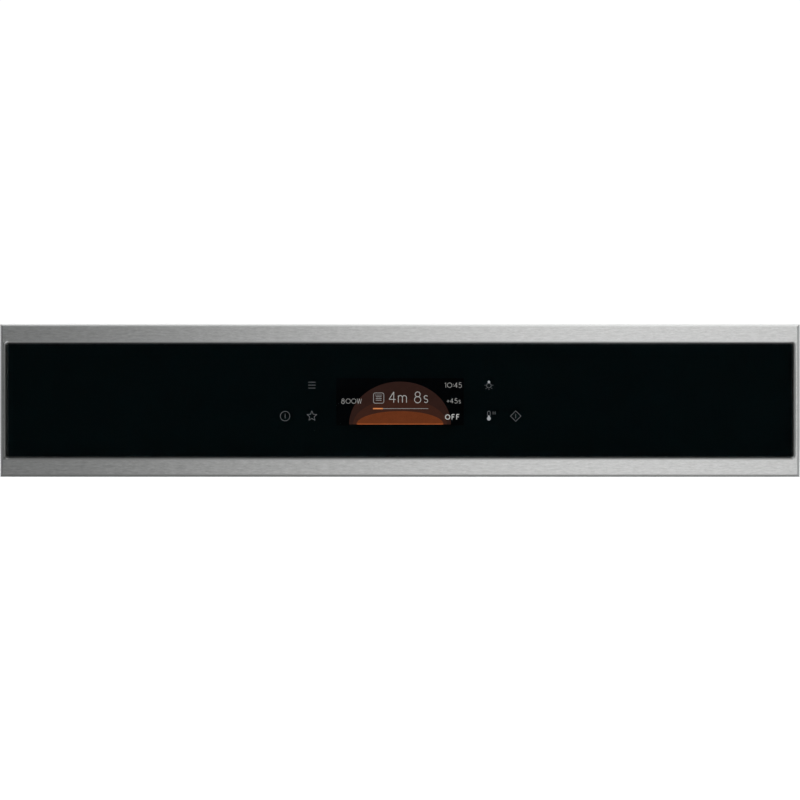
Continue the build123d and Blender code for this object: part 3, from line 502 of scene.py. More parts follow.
slot_of = {row["node"]: row["material_slot"] for row in frame["record"]["subparts"]}
for node, thing in frame["nodes"].items():
    for place in thing.material_slots:
        place.material = FINISHES[slot_of[node]]


# Making pieces

# Turns of a form that is made along Z, to look to the rear or from the left bracket inwards.
REARWARD = Matrix.Rotation(math.radians(-90), 4, "X")
INWARD = Matrix.Rotation(math.radians(90), 4, "Y")

# Points of one form that lie closer than this, in millimetres, become one.
MERGE_DISTANCE = 0.001


def finished_piece(name, bm, slot, replaced=None, finish=None, smooth=None):
    """Turns the bmesh, which is in millimetres, into a piece that rides on the panel."""
    bmesh.ops.transform(bm, matrix=Matrix.Diagonal((MM, MM, MM, 1.0)), verts=bm.verts)
    mesh = bpy.data.meshes.new(name)
    bm.to_mesh(mesh)
    bm.free()
    mesh.materials.append(finish or FINISHES[slot])
    if smooth:
        mesh.shade_smooth()
        mesh.set_sharp_from_angle(angle=math.radians(smooth))
    piece = bpy.data.objects.new(name, mesh)
    bpy.context.scene.collection.objects.link(piece)
    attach(piece, "root")
    if replaced:
        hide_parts(replaced)


def solids_in(node):
    """Low and high corner, in millimetres, of each separate solid in a CAD node."""
    bm = bmesh.new()
    bm.from_mesh(frame["nodes"][node].data)
    bmesh.ops.remove_doubles(bm, verts=bm.verts, dist=MERGE_DISTANCE * MM)
    left = set(bm.verts)
    boxes = []
    while left:
        island = [left.pop()]
        for vert in island:
            near = {edge.other_vert(vert) for edge in vert.link_edges} & left
            left -= near
            island.extend(near)
        spots = [vert.co / MM for vert in island]
        low = Vector([min(spot[axis] for spot in spots) for axis in range(3)])
        high = Vector([max(spot[axis] for spot in spots) for axis in range(3)])
        boxes.append((low, high))
    bm.free()
    return sorted(boxes, key=lambda box: tuple(box[0]))


def add_form(bm, form, place):
    """Moves one form by the place matrix and joins it to the piece's bmesh."""
    bmesh.ops.transform(form, matrix=place, verts=form.verts)
    held = bpy.data.meshes.new("held")
    form.to_mesh(held)
    form.free()
    bm.from_mesh(held)
    bpy.data.meshes.remove(held)


def turned(bm, profile, steps, place):
    """Spins (radius, height) points round the Z axis, closes the form and places it."""
    form = bmesh.new()
    spots = [form.verts.new((radius, 0.0, height)) for radius, height in profile]
    sides = [form.edges.new(pair) for pair in zip(spots, spots[1:])]
    bmesh.ops.spin(
        form, geom=spots + sides, cent=(0, 0, 0), axis=(0, 0, 1),
        angle=math.tau, steps=steps, use_merge=True,
    )
    bmesh.ops.remove_doubles(form, verts=form.verts, dist=MERGE_DISTANCE)
    bmesh.ops.recalc_face_normals(form, faces=form.faces)
    add_form(bm, form, place)


def block(bm, low, high):
    """Box between two corners."""
    bmesh.ops.create_cube(bm, size=1.0)
    bmesh.ops.scale(bm, vec=high - low, verts=bm.verts)
    bmesh.ops.translate(bm, vec=(low + high) / 2, verts=bm.verts)


# Glass, with rounded corners and a ground front edge, and just clear of the print behind it

GLASS_CORNER = 1.1
GLASS_ARRIS = 0.3
GLASS_CLEARANCE = 0.12


def glass_pane():
    low, high = (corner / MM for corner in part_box("control_glass"))
    high.y -= GLASS_CLEARANCE
    bm = bmesh.new()
    block(bm, low, high)
    corners = [edge for edge in bm.edges if edge.verts[0].co.y != edge.verts[1].co.y]
    bmesh.ops.bevel(
        bm, geom=corners, offset=GLASS_CORNER,
        affect="EDGES", segments=6, profile=0.5, material=-1,
    )
    middle = (low.y + high.y) / 2
    front_edges = [
        edge
        for edge in bm.edges
        if all(vert.co.y < middle for vert in edge.verts) and len(edge.link_faces) == 2
    ]
    bmesh.ops.bevel(
        bm, geom=front_edges, offset=GLASS_ARRIS,
        affect="EDGES", segments=1, profile=0.5, material=-1,
    )
    finished_piece("glass_pane", bm, "black_glass", "control_glass")


glass_pane()


# Screws

# The profile goes from the middle of the socket's floor over the head to its seat. Its points
# above SOCKET_FLOOR, between SOCKET_MIDDLE and SOCKET_RADIUS from the axis, get the lobes.
HEAD_THICKNESS = 1.6
HEAD_PROFILE = [
    (0.0, 0.55), (0.95, 0.65), (1.02, HEAD_THICKNESS), (1.35, HEAD_THICKNESS), (1.85, 1.5),
    (2.2, 1.2), (2.38, 0.75), (2.4, 0.3), (2.3, 0.0), (1.3, 0.0),
]
SOCKET_FLOOR = 0.5
SOCKET_MIDDLE = 0.1
SOCKET_RADIUS = 1.1
SOCKET_LOBES = 6
LOBE_DEPTH = 0.13
SHANK_PITCH = 0.8
SHANK_ROOT = 1.05
SHANK_CREST = 1.3
SHANK_FLAT = 0.1
SCREW_SEGMENTS = 24


def thread_outline(start, pitch, turns, root, crest, flat):
    """Points of a thread from start upwards, or downwards where pitch and flat are negative."""
    points = []
    for turn in range(turns):
        base = start + turn * pitch
        points += [(root, base + flat), (crest, base + pitch / 2), (root, base + pitch - flat)]
    return points


def socket_screw(bm, place, shank_length):
    """Pan head with a six-lobed socket, on a threaded shank."""
    turns = int(shank_length / SHANK_PITCH)
    thread = thread_outline(0.0, -SHANK_PITCH, turns, SHANK_ROOT, SHANK_CREST, -SHANK_FLAT)
    profile = HEAD_PROFILE + [(SHANK_ROOT, 0.0)] + thread + [(0.0, -shank_length)]
    form = bmesh.new()
    turned(form, profile, SCREW_SEGMENTS, Matrix.Identity(4))
    for vert in form.verts:
        radius = vert.co.xy.length
        if vert.co.z > SOCKET_FLOOR and SOCKET_MIDDLE < radius < SOCKET_RADIUS:
            angle = math.atan2(vert.co.y, vert.co.x)
            wave = 1.0 + LOBE_DEPTH * math.cos(SOCKET_LOBES * angle)
            vert.co.x *= wave
            vert.co.y *= wave
    add_form(bm, form, place)


def rearward_screws(node):
    """Stands for a node of plain screws whose heads look to the rear."""
    bm = bmesh.new()
    for low, high in solids_in(node):
        middle = (low + high) / 2
        seat = high.y - HEAD_THICKNESS
        place = Matrix.Translation((middle.x, seat, middle.z)) @ REARWARD
        socket_screw(bm, place, seat - low.y)
    finished_piece(node + "_threaded", bm, "zinc_screw", node, smooth=35)


def earth_screw():
    """Stands for the screw of the earth tab, whose head looks inwards."""
    bm = bmesh.new()
    [(low, high)] = solids_in("earth_screw")
    middle = (low + high) / 2
    seat = high.x - HEAD_THICKNESS
    place = Matrix.Translation((seat, middle.y, middle.z)) @ INWARD
    socket_screw(bm, place, seat - low.x)
    finished_piece("earth_screw_threaded", bm, "zinc_screw", "earth_screw", smooth=35)


for node in ("cover_screws", "display_bracket_screws", "touch_board_screws", "main_board_screws"):
    rearward_screws(node)
earth_screw()


# Weld studs, with a plain neck at the sheet and a thread up to the chamfered tip

NECK_RADIUS = 1.48
NECK_LENGTH = 6.0
STUD_UNTHREADED = 6.5
STUD_PITCH = 0.5
STUD_ROOT = 1.25
STUD_CREST = 1.5
STUD_FLAT = 0.06
TIP_RADIUS = 0.95
TIP_LENGTH = 0.3
STUD_SEGMENTS = 16


def threaded_studs():
    bm = bmesh.new()
    for low, high in solids_in("fascia_studs"):
        middle = (low + high) / 2
        length = high.y - low.y
        turns = int((length - STUD_UNTHREADED) / STUD_PITCH)
        neck = [(0.0, 0.0), (NECK_RADIUS, 0.0), (NECK_RADIUS, NECK_LENGTH)]
        thread = thread_outline(NECK_LENGTH, STUD_PITCH, turns, STUD_ROOT, STUD_CREST, STUD_FLAT)
        tip = [(STUD_ROOT, length - TIP_LENGTH), (TIP_RADIUS, length), (0.0, length)]
        place = Matrix.Translation((middle.x, low.y, middle.z)) @ REARWARD
        turned(bm, neck + thread + tip, STUD_SEGMENTS, place)
    finished_piece("fascia_studs_threaded", bm, "zinc_screw", "fascia_studs", smooth=35)


threaded_studs()


# Nuts

NUT_ACROSS_FLATS = 5.5
NUT_CROWN = 2.6
NUT_BORE = 1.5
NUT_SIDES = 6
NUT_SEGMENTS = 24
NUT_CONE = math.tan(math.radians(30))


def ring_of_edges(form, radius, height):
    """Edges of a new circle."""
    seen = set(form.edges)
    bmesh.ops.create_circle(
        form, segments=NUT_SEGMENTS, radius=radius, matrix=Matrix.Translation((0.0, 0.0, height))
    )
    return [edge for edge in form.edges if edge not in seen]


def chamfered_nut(thickness):
    """Hexagon nut whose corners are cut back by a cone on both faces."""
    form = bmesh.new()
    half = thickness / 2
    across_corners = NUT_ACROSS_FLATS / math.cos(math.pi / NUT_SIDES)
    bmesh.ops.create_circle(form, segments=NUT_SIDES, radius=across_corners / 2)
    bmesh.ops.subdivide_edges(form, edges=form.edges[:], cuts=NUT_SEGMENTS // NUT_SIDES - 1)
    for vert in form.verts:
        vert.co.z = half - (vert.co.xy.length - NUT_CROWN) * NUT_CONE
    outline = form.edges[:]
    crown = ring_of_edges(form, NUT_CROWN, half)
    bore = ring_of_edges(form, NUT_BORE, half)
    bmesh.ops.bridge_loops(form, edges=outline + crown)
    bmesh.ops.bridge_loops(form, edges=crown + bore)
    for ring in (outline, bore):
        made = bmesh.ops.extrude_edge_only(form, edges=ring)
        for item in made["geom"]:
            if isinstance(item, bmesh.types.BMVert):
                item.co.z = 0.0
    everything = form.verts[:] + form.edges[:] + form.faces[:]
    bmesh.ops.mirror(
        form, geom=everything, matrix=Matrix.Identity(4), merge_dist=MERGE_DISTANCE, axis="Z"
    )
    bmesh.ops.remove_doubles(form, verts=form.verts, dist=MERGE_DISTANCE)
    bmesh.ops.recalc_face_normals(form, faces=form.faces)
    return form


def chamfered_nuts():
    corners_sideways = Matrix.Rotation(math.radians(90), 4, "Z")
    bm = bmesh.new()
    for low, high in solids_in("stud_nuts"):
        place = Matrix.Translation((low + high) / 2) @ REARWARD @ corners_sideways
        add_form(bm, chamfered_nut(high.y - low.y), place)
    finished_piece("stud_nuts_chamfered", bm, "zinc_screw", "stud_nuts", smooth=30)


chamfered_nuts()


# Pins of the loom's socket, with tapered points

POINT_INSET = 0.18
POINT_LENGTH = 0.5


def tapered_pins():
    bm = bmesh.new()
    for low, high in solids_in("loom_pins"):
        form = bmesh.new()
        block(form, low, high)
        point = [face for face in form.faces if face.normal.y > 0.9]
        bmesh.ops.inset_region(form, faces=point, thickness=POINT_INSET, depth=0.0)
        tip = set(point[0].verts)
        middle = (low.y + high.y) / 2
        shoulder = [vert for vert in form.verts if vert.co.y > middle and vert not in tip]
        bmesh.ops.translate(form, vec=(0, -POINT_LENGTH, 0), verts=shoulder)
        add_form(bm, form, Matrix.Identity(4))
    finished_piece("loom_pins_tapered", bm, "tin", "loom_pins")


tapered_pins()


# Strokes and lights, for the key signs and the display's picture. A drawing lies in the XY plane.

# Strokes that meet reach a little into each other, so that no two of their ends lie on one line.
STROKE_OVERLAP = 0.02
DEGREES_A_STEP = 15
FEWEST_STEPS = 4


def ray(angle):
    """Direction at an angle in degrees."""
    return Vector((math.cos(math.radians(angle)), math.sin(math.radians(angle))))


def bar(bm, start, end, width):
    """Straight stroke between two points."""
    start, end = Vector(start), Vector(end)
    overlap = (end - start).normalized() * STROKE_OVERLAP
    start, end = start - overlap, end + overlap
    side = (end - start).orthogonal().normalized() * width / 2
    first = [bm.verts.new((*(start + side), 0.0)), bm.verts.new((*(start - side), 0.0))]
    edge = bm.edges.new(first)
    made = bmesh.ops.extrude_edge_only(bm, edges=[edge])
    moved = [item for item in made["geom"] if isinstance(item, bmesh.types.BMVert)]
    bmesh.ops.translate(bm, vec=(*(end - start), 0.0), verts=moved)


def bow(bm, centre, radius, start, sweep, width):
    """Curved stroke round a centre, from the start angle over the sweep, in degrees."""
    centre = Vector(centre)
    closed = abs(sweep) == 360
    if not closed:
        overlap = math.copysign(math.degrees(STROKE_OVERLAP / radius), sweep)
        start, sweep = start - overlap, sweep + 2 * overlap
    edge_radii = (radius - width / 2, radius + width / 2)
    ends = [bm.verts.new((*(centre + ray(start) * reach), 0.0)) for reach in edge_radii]
    edge = bm.edges.new(ends)
    steps = max(FEWEST_STEPS, int(abs(sweep) / DEGREES_A_STEP))
    bmesh.ops.spin(
        bm, geom=[*ends, edge], cent=(*centre, 0.0), axis=(0, 0, 1),
        angle=math.radians(sweep), steps=steps, use_merge=closed,
    )


def disc(bm, centre, radius, segments=24):
    made = bmesh.ops.create_circle(bm, cap_ends=True, segments=segments, radius=radius)
    bmesh.ops.translate(bm, vec=(*centre, 0.0), verts=made["verts"])


def closed_line(bm, points, width):
    for start, end in zip(points, points[1:] + points[:1]):
        bar(bm, start, end, width)


def lit_finish(name, colour, strength, spread):
    """A light that is a little uneven over what it lights."""
    finish, shader = new_finish(name, (0.0, 0.0, 0.0), 0.6, Specular_IOR_Level=0.0)
    tree = finish.node_tree
    cloud = speckle(tree, piece_coords(tree), 260.0, detail=1.0)
    dim = tuple(channel * (1 - spread) for channel in colour)
    bright = tuple(channel * (1 + spread) for channel in colour)
    glow = colour_run(tree, cloud, [(0.35, dim), (0.65, bright)])
    tree.links.new(glow, shader.inputs["Emission Color"])
    shader.inputs["Emission Strength"].default_value = strength
    return finish


def lit_piece(name, draw, depth, thickness, finish, origin=(0.0, 0.0)):
    """Makes a drawing, gives it its thickness, and stands it up with its origin at (x, z)."""
    bm = bmesh.new()
    draw(bm)
    bmesh.ops.recalc_face_normals(bm, faces=bm.faces)
    bmesh.ops.solidify(bm, geom=bm.faces[:], thickness=thickness)
    bmesh.ops.recalc_face_normals(bm, faces=bm.faces)
    upright = Matrix.Rotation(math.radians(90), 4, "X")
    place = Matrix.Translation((origin[0], depth, origin[1])) @ upright
    bmesh.ops.transform(bm, matrix=place, verts=bm.verts)
    finished_piece(name, bm, "display_glass", finish=finish)


# Key signs, each in front of its key's lamp and a little to the upper right of its middle

KEY_LIGHT = lit_finish("key_light", (0.95, 0.97, 1.0), 0.145, 0.1)
KEY_SPOT = lit_finish("key_spot", (0.95, 0.97, 1.0), 0.42, 0.1)
SIGN_BEFORE_PRINT = 0.06
SIGN_THICKNESS = 0.03
SIGN_LINE = 0.36
SIGN_SHIFT = (0.3, 0.5)


def on_off_sign(bm):
    ring, stem = 3.55, 1.7
    bow(bm, (0, 0), ring, 0, 360, SIGN_LINE)
    bar(bm, (0, -stem), (0, stem), SIGN_LINE)


def menu_sign(bm):
    half_length, pitch = 2.7, 2.2
    for height in (-pitch, 0.0, pitch):
        bar(bm, (-half_length, height), (half_length, height), SIGN_LINE)


def star_sign(bm):
    outer, inner = 3.9, 1.7
    corners = 10
    points = []
    for corner in range(corners):
        radius = inner if corner % 2 else outer
        points.append(tuple(ray(90 + 360 / corners * corner) * radius))
    closed_line(bm, points, SIGN_LINE)


def lamp_sign(bm):
    hub = Vector((0, -0.3))
    bulb, ray_start, ray_end = 1.7, 2.5, 3.4
    bow(bm, hub, bulb, 0, 360, SIGN_LINE)
    for angle in (175, 225, 270, 315, 365):
        bar(bm, hub + ray(angle) * ray_start, hub + ray(angle) * ray_end, SIGN_LINE)


def lamp_cap(bm):
    height, radius = 2.35, 0.95
    disc(bm, (0, height), radius, segments=16)


def probe_sign(bm):
    radius, foot, shoulder = 1.0, 0.4, 2.7
    bow(bm, (0, shoulder), radius, 0, 180, SIGN_LINE)
    for side in (-radius, radius):
        bar(bm, (side, foot), (side, shoulder), SIGN_LINE)
    mark_low, mark_high = 1.2, 3.4
    for side in (3.1, 4.6):
        bar(bm, (side, mark_low), (side, mark_high), SIGN_LINE)


def probe_bulb(bm):
    for height, radius in ((-1.9, 1.4), (-0.7, 0.85), (0.3, 0.4)):
        disc(bm, (0, height), radius)


def start_sign(bm):
    reach, stem = 3.9, 1.6
    closed_line(bm, [(0, reach), (-reach, 0), (0, -reach), (reach, 0)], SIGN_LINE)
    bar(bm, (0, -stem), (0, stem), SIGN_LINE)


def key_places():
    """(x, z) of each key's lamp, from left to right, with the lower lamp of a pair first."""
    middles = [(low + high) / 2 for low, high in solids_in("key_leds")]
    return sorted((round(middle.x, 3), round(middle.z, 3)) for middle in middles)


ON_OFF_KEY, STAR_KEY, MENU_KEY, PROBE_KEY, LAMP_KEY, START_KEY = key_places()
SIGNS = {
    "sign_on_off": (on_off_sign, KEY_LIGHT, ON_OFF_KEY),
    "sign_menu": (menu_sign, KEY_LIGHT, MENU_KEY),
    "sign_star": (star_sign, KEY_LIGHT, STAR_KEY),
    "sign_lamp": (lamp_sign, KEY_LIGHT, LAMP_KEY),
    "sign_lamp_cap": (lamp_cap, KEY_SPOT, LAMP_KEY),
    "sign_probe": (probe_sign, KEY_LIGHT, PROBE_KEY),
    "sign_probe_bulb": (probe_bulb, KEY_SPOT, PROBE_KEY),
    "sign_start": (start_sign, KEY_LIGHT, START_KEY),
}
for name, (draw, light, (x, z)) in SIGNS.items():
    origin = (x + SIGN_SHIFT[0], z + SIGN_SHIFT[1])
    lit_piece(name, draw, GLASS_BACK - SIGN_BEFORE_PRINT, SIGN_THICKNESS, light, origin)


# Display picture. Places on it are columns and rows of an image as wide as the panel.

PICTURE_WHITE = lit_finish("picture_white", (1.0, 0.97, 0.93), 0.41, 0.06)
PICTURE_SMALL = lit_finish("picture_small_white", (1.0, 0.97, 0.94), 0.35, 0.06)
PICTURE_BOLD = lit_finish("picture_bold_white", (1.0, 0.98, 0.95), 0.54, 0.06)
PICTURE_GREY = lit_finish("picture_grey", (0.75, 0.72, 0.7), 0.35, 0.06)
PICTURE_ORANGE = lit_finish("picture_orange", (1.0, 0.34, 0.12), 0.75, 0.06)
PICTURE_BROWN = lit_finish("picture_brown", (0.029, 0.0125, 0.0098), 1.0, 0.04)
PICTURE_UMBER = lit_finish("picture_umber", (0.045, 0.0165, 0.011), 1.0, 0.04)
PICTURE_GLOW = lit_finish("picture_glow", (0.14, 0.034, 0.0115), 1.0, 0.04)
PICTURE_RIM = lit_finish("picture_rim", (0.42, 0.1, 0.03), 1.0, 0.04)

MIDDLE_PIXEL = (IMAGE_WIDTH - 1) / 2
POWER_AT = (341.0, 403.1)
CLOCK_AT = (444.4, 387.1)
ADD_TIME_AT = (446.4, 402.7)
TIME_LEFT_AT = (388.6, 402.1)
OFF_AT = (445.0, 419.0)
GLYPH_COLUMNS = (373.0, 383.3)
GLYPH_ROWS = (402.7, 392.4)
TIME_DONE_COLUMNS = (372.5, 382.3)
TIME_LEFT_COLUMNS = (382.5, 427.9)
TIME_BAR_ROW = 408.1
GROUND_ROW = 424.0


def picture_x(column):
    """Millimetres to the right of the panel's middle."""
    return (column - MIDDLE_PIXEL) * PIXEL


def picture_z(row):
    """Millimetres above the panel's lower edge."""
    return (MIDDLE_PIXEL - row) * PIXEL + VIEW_HEIGHT


GROUND = picture_z(GROUND_ROW)

# Each character is an advance and its strokes, with the height of a capital as 1. A bar has its
# two ends, and a bow its centre, its radius, and its start angle and sweep in degrees.
LETTERS = {
    " ": (0.45, []),
    "0": (1.1, [("bow", 0.44, 0.5, 0.46, 0, 360)]),
    "1": (0.52, [("bar", 0.2, 0.0, 0.2, 1.0), ("bar", 0.2, 1.0, 0.0, 0.82)]),
    "4": (0.86, [("bar", 0.43, 0.0, 0.43, 1.0), ("bar", 0.43, 1.0, 0.0, 0.3),
                 ("bar", 0.0, 0.3, 0.6, 0.3)]),
    "5": (0.84, [("bar", 0.12, 1.0, 0.52, 1.0), ("bar", 0.12, 1.0, 0.08, 0.56),
                 ("bow", 0.26, 0.31, 0.31, 125, -270)]),
    "8": (0.86, [("bow", 0.29, 0.77, 0.23, 0, 360), ("bow", 0.29, 0.27, 0.29, 0, 360)]),
    ":": (0.32, [("bar", 0.05, 0.2, 0.05, 0.32), ("bar", 0.05, 0.6, 0.05, 0.72)]),
    "+": (0.72, [("bar", 0.0, 0.45, 0.54, 0.45), ("bar", 0.27, 0.16, 0.27, 0.74)]),
    "W": (1.1, [("bar", 0.0, 1.0, 0.22, 0.0), ("bar", 0.22, 0.0, 0.44, 1.0),
                ("bar", 0.44, 1.0, 0.66, 0.0), ("bar", 0.66, 0.0, 0.88, 1.0)]),
    "m": (1.06, [("bar", 0.0, 0.0, 0.0, 0.66), ("bow", 0.19, 0.47, 0.19, 180, -180),
                 ("bar", 0.38, 0.0, 0.38, 0.47), ("bow", 0.57, 0.47, 0.19, 180, -180),
                 ("bar", 0.76, 0.0, 0.76, 0.47)]),
    "s": (0.6, [("bow", 0.2, 0.49, 0.165, 30, 240), ("bow", 0.2, 0.165, 0.165, 90, -240)]),
    "O": (1.16, [("bow", 0.45, 0.5, 0.45, 0, 360)]),
    "F": (0.78, [("bar", 0.0, 0.0, 0.0, 1.0), ("bar", 0.0, 1.0, 0.5, 1.0),
                 ("bar", 0.0, 0.52, 0.42, 0.52)]),
}


def lettering(bm, text, at, height, line, spacing=0.0):
    """Draws text from the column of its left end and the row of its base line. The height of a
    capital, the width of a stroke and the extra space after a letter are in millimetres."""
    pen, base = picture_x(at[0]), picture_z(at[1])
    for letter in text:
        advance, strokes = LETTERS[letter]
        for kind, *numbers in strokes:
            if kind == "bar":
                x0, z0, x1, z1 = (number * height for number in numbers)
                bar(bm, (pen + x0, base + z0), (pen + x1, base + z1), line)
            else:
                x, z, radius = (number * height for number in numbers[:3])
                bow(bm, (pen + x, base + z), radius, *numbers[3:], line)
        pen += advance * height + spacing


def small_words(bm):
    line = 0.32
    lettering(bm, "800W", POWER_AT, height=3.7, line=line, spacing=0.1)
    lettering(bm, "10:45", CLOCK_AT, height=3.7, line=line)
    lettering(bm, "+45s", ADD_TIME_AT, height=3.5, line=line, spacing=0.15)


def time_left(bm):
    lettering(bm, "4m 8s", TIME_LEFT_AT, height=8.0, line=0.55)


def off_word(bm):
    lettering(bm, "OFF", OFF_AT, height=3.7, line=0.62, spacing=0.6)


def oven_glyph(bm):
    """Rounded square with three racks and a shorter line above them."""
    left, right = (picture_x(column) for column in GLYPH_COLUMNS)
    low, high = (picture_z(row) for row in GLYPH_ROWS)
    corner, line = 1.3, 0.5
    near, far = left + corner, right - corner
    foot, roof = low + corner, high - corner
    for x, z, start in ((far, roof, 0), (near, roof, 90), (near, foot, 180), (far, foot, 270)):
        bow(bm, (x, z), corner, start, 90, line)
    bar(bm, (near, high), (far, high), line)
    bar(bm, (near, low), (far, low), line)
    bar(bm, (left, foot), (left, roof), line)
    bar(bm, (right, foot), (right, roof), line)
    rack_margin, rack_pitch, lowest_rack = 1.7, 1.3, low + 2.2
    for rack in range(3):
        height = lowest_rack + rack * rack_pitch
        bar(bm, (left + rack_margin, height), (right - rack_margin, height), line)
    top_margin, top_line, top_height = 1.2, line * 0.8, high - 1.6
    bar(bm, (left + top_margin, top_height), (right - top_margin, top_height), top_line)


def time_bar(bm, columns, line):
    start, end = (picture_x(column) for column in columns)
    height = picture_z(TIME_BAR_ROW)
    bar(bm, (start, height), (end, height), line)


def time_done_bar(bm):
    time_bar(bm, TIME_DONE_COLUMNS, line=0.9)


def time_left_bar(bm):
    time_bar(bm, TIME_LEFT_COLUMNS, line=0.45)


def lower_rim(bm):
    half_length, line = 32.0, 0.6
    height = GROUND + line / 2
    bar(bm, (-half_length, height), (half_length, height), line)


def half_oval(bm, half_width, height):
    """Half of a flat oval that rises from the lower edge of the picture."""
    bmesh.ops.create_circle(bm, cap_ends=True, segments=96, radius=1.0)
    bmesh.ops.scale(bm, vec=(half_width, height, 1.0), verts=bm.verts)
    bmesh.ops.bisect_plane(
        bm, geom=bm.verts[:] + bm.edges[:] + bm.faces[:],
        plane_co=(0, 0, 0), plane_no=(0, 1, 0), clear_inner=True,
    )
    bmesh.ops.translate(bm, vec=(0.0, GROUND, 0.0), verts=bm.verts)


def outer_glow(bm):
    half_oval(bm, half_width=38.0, height=32.0)


def middle_glow(bm):
    half_oval(bm, half_width=35.0, height=19.0)


def inner_glow(bm):
    half_oval(bm, half_width=32.5, height=10.0)


# The glows lie one on the other before the cell, the smallest in front, and the marks and words
# lie before them all.
GLOW_STEP = 0.02
GLOW_THICKNESS = 0.01
GLOWS = {
    "picture_glow_outer": (outer_glow, PICTURE_BROWN),
    "picture_glow_middle": (middle_glow, PICTURE_UMBER),
    "picture_glow_inner": (inner_glow, PICTURE_GLOW),
}
MARKS_BEFORE_CELL = 0.1
MARKS_THICKNESS = 0.02
MARKS = {
    "picture_glyph": (oven_glyph, PICTURE_GREY),
    "picture_numbers": (small_words, PICTURE_SMALL),
    "picture_time": (time_left, PICTURE_WHITE),
    "picture_off": (off_word, PICTURE_BOLD),
    "picture_time_done": (time_done_bar, PICTURE_ORANGE),
    "picture_time_left": (time_left_bar, PICTURE_GREY),
    "picture_lower_rim": (lower_rim, PICTURE_RIM),
}
depth = CELL_FRONT
for name, (draw, light) in GLOWS.items():
    depth -= GLOW_STEP
    lit_piece(name, draw, depth, GLOW_THICKNESS, light)
for name, (draw, light) in MARKS.items():
    lit_piece(name, draw, CELL_FRONT - MARKS_BEFORE_CELL, MARKS_THICKNESS, light)


# Floor, in metres

FLOOR_HALF_SIZE = 8.0
FLOOR_GLOW = 0.45


def floor():
    """White paper with some light of its own, which the steel and the glass don't mirror."""
    bm = bmesh.new()
    bmesh.ops.create_grid(bm, x_segments=1, y_segments=1, size=FLOOR_HALF_SIZE)
    mesh = bpy.data.meshes.new("floor")
    bm.to_mesh(mesh)
    bm.free()
    paper, shader = new_finish("white_paper", (0.9, 0.9, 0.9), 0.9, Specular_IOR_Level=0.0)
    shader.inputs["Emission Color"].default_value = (1.0, 1.0, 1.0, 1.0)
    shader.inputs["Emission Strength"].default_value = FLOOR_GLOW
    mesh.materials.append(paper)
    ground = bpy.data.objects.new("floor", mesh)
    bpy.context.scene.collection.objects.link(ground)
    ground.visible_glossy = False
    ground.visible_transmission = False
    ground.visible_shadow = False


floor()


# Light from all round. Each light comes up over a stretch of the direction's X, Y or Z.

PALE = 1.05
COOL_WHITE = (0.96, 1.0, 1.0, 1.0)
DARK_BAND = 0.004
SKY_FRONT = 0.28
SKY_BEHIND = 0.4
GROUND_LIGHT = 0.15
LOW_BEHIND = 0.15
SIDE_LIGHT = 0.3
RIGHT_LIGHT = 0.35
SKY_STRETCH = (0.08, 0.35)
GROUND_STRETCH = (-0.35, -0.1)
BEHIND_STRETCH = (0.0, 0.4)
SIDE_STRETCH = (0.45, 0.75)
RIGHT_STRETCH = (0.28, 0.5)
NOT_LOW_STRETCH = (-0.4, -0.25)


def light_level(tree):
    """Soft light from above, behind, beside and below, with a dark band before the panel that
    keeps its glass black."""
    direction = tree.nodes.new("ShaderNodeTexCoord").outputs["Generated"]
    x, y, z = axes_of(tree, direction)
    above = between(tree, z, 0.0, 1.0, *SKY_STRETCH)
    below = between(tree, z, 1.0, 0.0, *GROUND_STRETCH)
    behind = between(tree, y, 0.0, 1.0, *BEHIND_STRETCH)
    beside = between(tree, math_node(tree, "ABSOLUTE", x), 0.0, 1.0, *SIDE_STRETCH)
    rightwards = between(tree, x, 0.0, 1.0, *RIGHT_STRETCH)
    not_low = between(tree, z, 0.0, 1.0, *NOT_LOW_STRETCH)
    sky = math_node(tree, "MULTIPLY_ADD", behind, SKY_BEHIND, SKY_FRONT)
    level = math_node(tree, "MULTIPLY_ADD", above, sky, DARK_BAND)
    for where, light in (
        (below, GROUND_LIGHT),
        (behind, LOW_BEHIND),
        (math_node(tree, "MULTIPLY", beside, not_low), SIDE_LIGHT),
        (math_node(tree, "MULTIPLY", rightwards, not_low), RIGHT_LIGHT),
    ):
        level = math_node(tree, "MULTIPLY_ADD", where, light, level)
    return level


def studio():
    """Pale surroundings for the camera, and the soft light for everything else."""
    world = bpy.data.worlds.new("studio")
    world.use_nodes = True
    tree = world.node_tree
    tree.nodes.clear()
    light = tree.nodes.new("ShaderNodeBackground")
    light.inputs["Color"].default_value = COOL_WHITE
    tree.links.new(light_level(tree), light.inputs["Strength"])
    pale = tree.nodes.new("ShaderNodeBackground")
    pale.inputs["Color"].default_value = (1.0, 1.0, 1.0, 1.0)
    pale.inputs["Strength"].default_value = PALE
    rays = tree.nodes.new("ShaderNodeLightPath")
    pick = tree.nodes.new("ShaderNodeMixShader")
    out = tree.nodes.new("ShaderNodeOutputWorld")
    tree.links.new(rays.outputs["Is Camera Ray"], pick.inputs["Fac"])
    tree.links.new(light.outputs[0], pick.inputs[1])
    tree.links.new(pale.outputs[0], pick.inputs[2])
    tree.links.new(pick.outputs[0], out.inputs["Surface"])
    bpy.context.scene.world = world


studio()


# Softboxes, in metres. Two stand before the panel and reach far to its right, one above and one
# below the dark band that its glass mirrors. A third hangs over its rear.

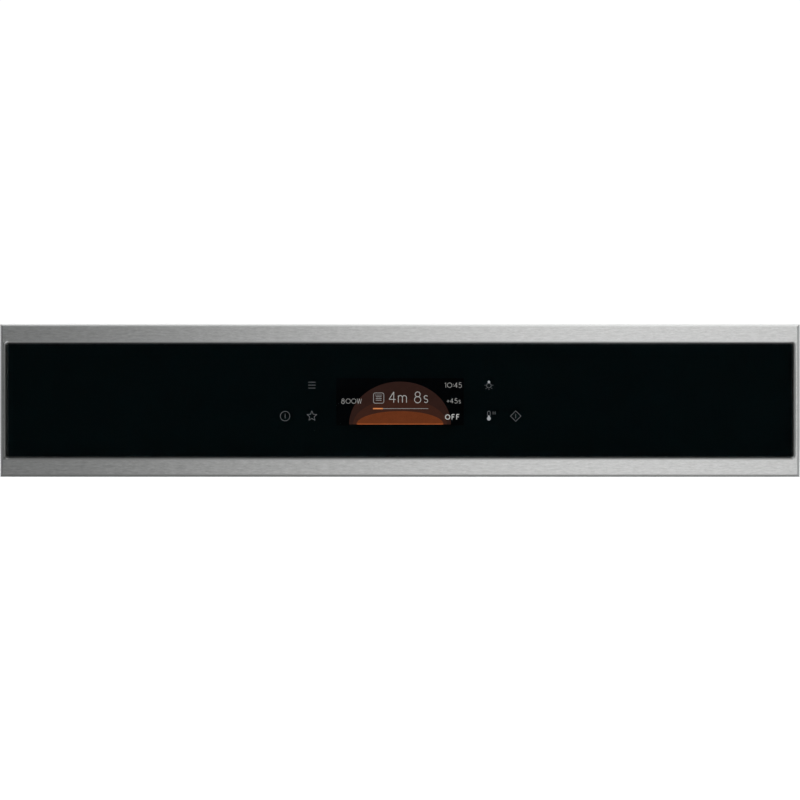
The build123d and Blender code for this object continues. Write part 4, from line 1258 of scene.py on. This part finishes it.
FRONT_LEFT, FRONT_RIGHT = -0.14, 0.9
FRONT_NEAR_BAND, FRONT_FAR = 0.42, 1.2
FRONT_DISTANCE = 3.0
KEY_RADIANCE = 6.5
FILL_RADIANCE = 1.9
OVERHEAD_DEPTH, OVERHEAD_HEIGHT = 0.45, 1.3
OVERHEAD_WIDTH, OVERHEAD_LENGTH = 1.8, 1.4
OVERHEAD_RADIANCE = 1.8


def softbox(name, place, target, width, height, radiance):
    """Rectangular light that faces its target and doesn't show itself."""
    lamp = bpy.data.lights.new(name, "AREA")
    lamp.shape = "RECTANGLE"
    lamp.size = width
    lamp.size_y = height
    lamp.energy = radiance * math.pi * width * height
    box = bpy.data.objects.new(name, lamp)
    box.location = place
    box.rotation_euler = (Vector(target) - Vector(place)).to_track_quat("-Z", "Y").to_euler()
    box.visible_camera = False
    bpy.context.scene.collection.objects.link(box)


def front_softbox(name, low, high, radiance):
    """Upright softbox before the panel."""
    across, up = (FRONT_LEFT + FRONT_RIGHT) / 2, (low + high) / 2
    place, target = (across, -FRONT_DISTANCE, up), (across, 0.0, up)
    softbox(name, place, target, FRONT_RIGHT - FRONT_LEFT, high - low, radiance)


def overhead_softbox():
    place, target = (0.0, OVERHEAD_DEPTH, OVERHEAD_HEIGHT), (0.0, OVERHEAD_DEPTH, 0.0)
    name = "overhead_softbox"
    softbox(name, place, target, OVERHEAD_WIDTH, OVERHEAD_LENGTH, OVERHEAD_RADIANCE)


front_softbox("key_softbox", FRONT_NEAR_BAND, FRONT_FAR, KEY_RADIANCE)
front_softbox("fill_softbox", -FRONT_FAR, -FRONT_NEAR_BAND, FILL_RADIANCE)
overhead_softbox()


# Camera, straight before the panel and so far off that the panel is as wide as the picture

LENS = 200.0
SENSOR_WIDTH = 36.0


def front_camera():
    half_width = (PANEL_HIGH.x - PANEL_LOW.x) / 2
    away = half_width / (SENSOR_WIDTH / 2 / LENS)
    camera = bpy.data.cameras.new("front_camera")
    camera.lens = LENS
    camera.sensor_width = SENSOR_WIDTH
    eye = bpy.data.objects.new("front_camera", camera)
    eye.location = (0.0, PANEL_LOW.y - away, VIEW_HEIGHT * MM)
    eye.rotation_euler = (math.radians(90), 0.0, 0.0)
    bpy.context.scene.collection.objects.link(eye)
    bpy.context.scene.camera = eye


front_camera()
bpy.context.scene.view_settings.view_transform = "Standard"
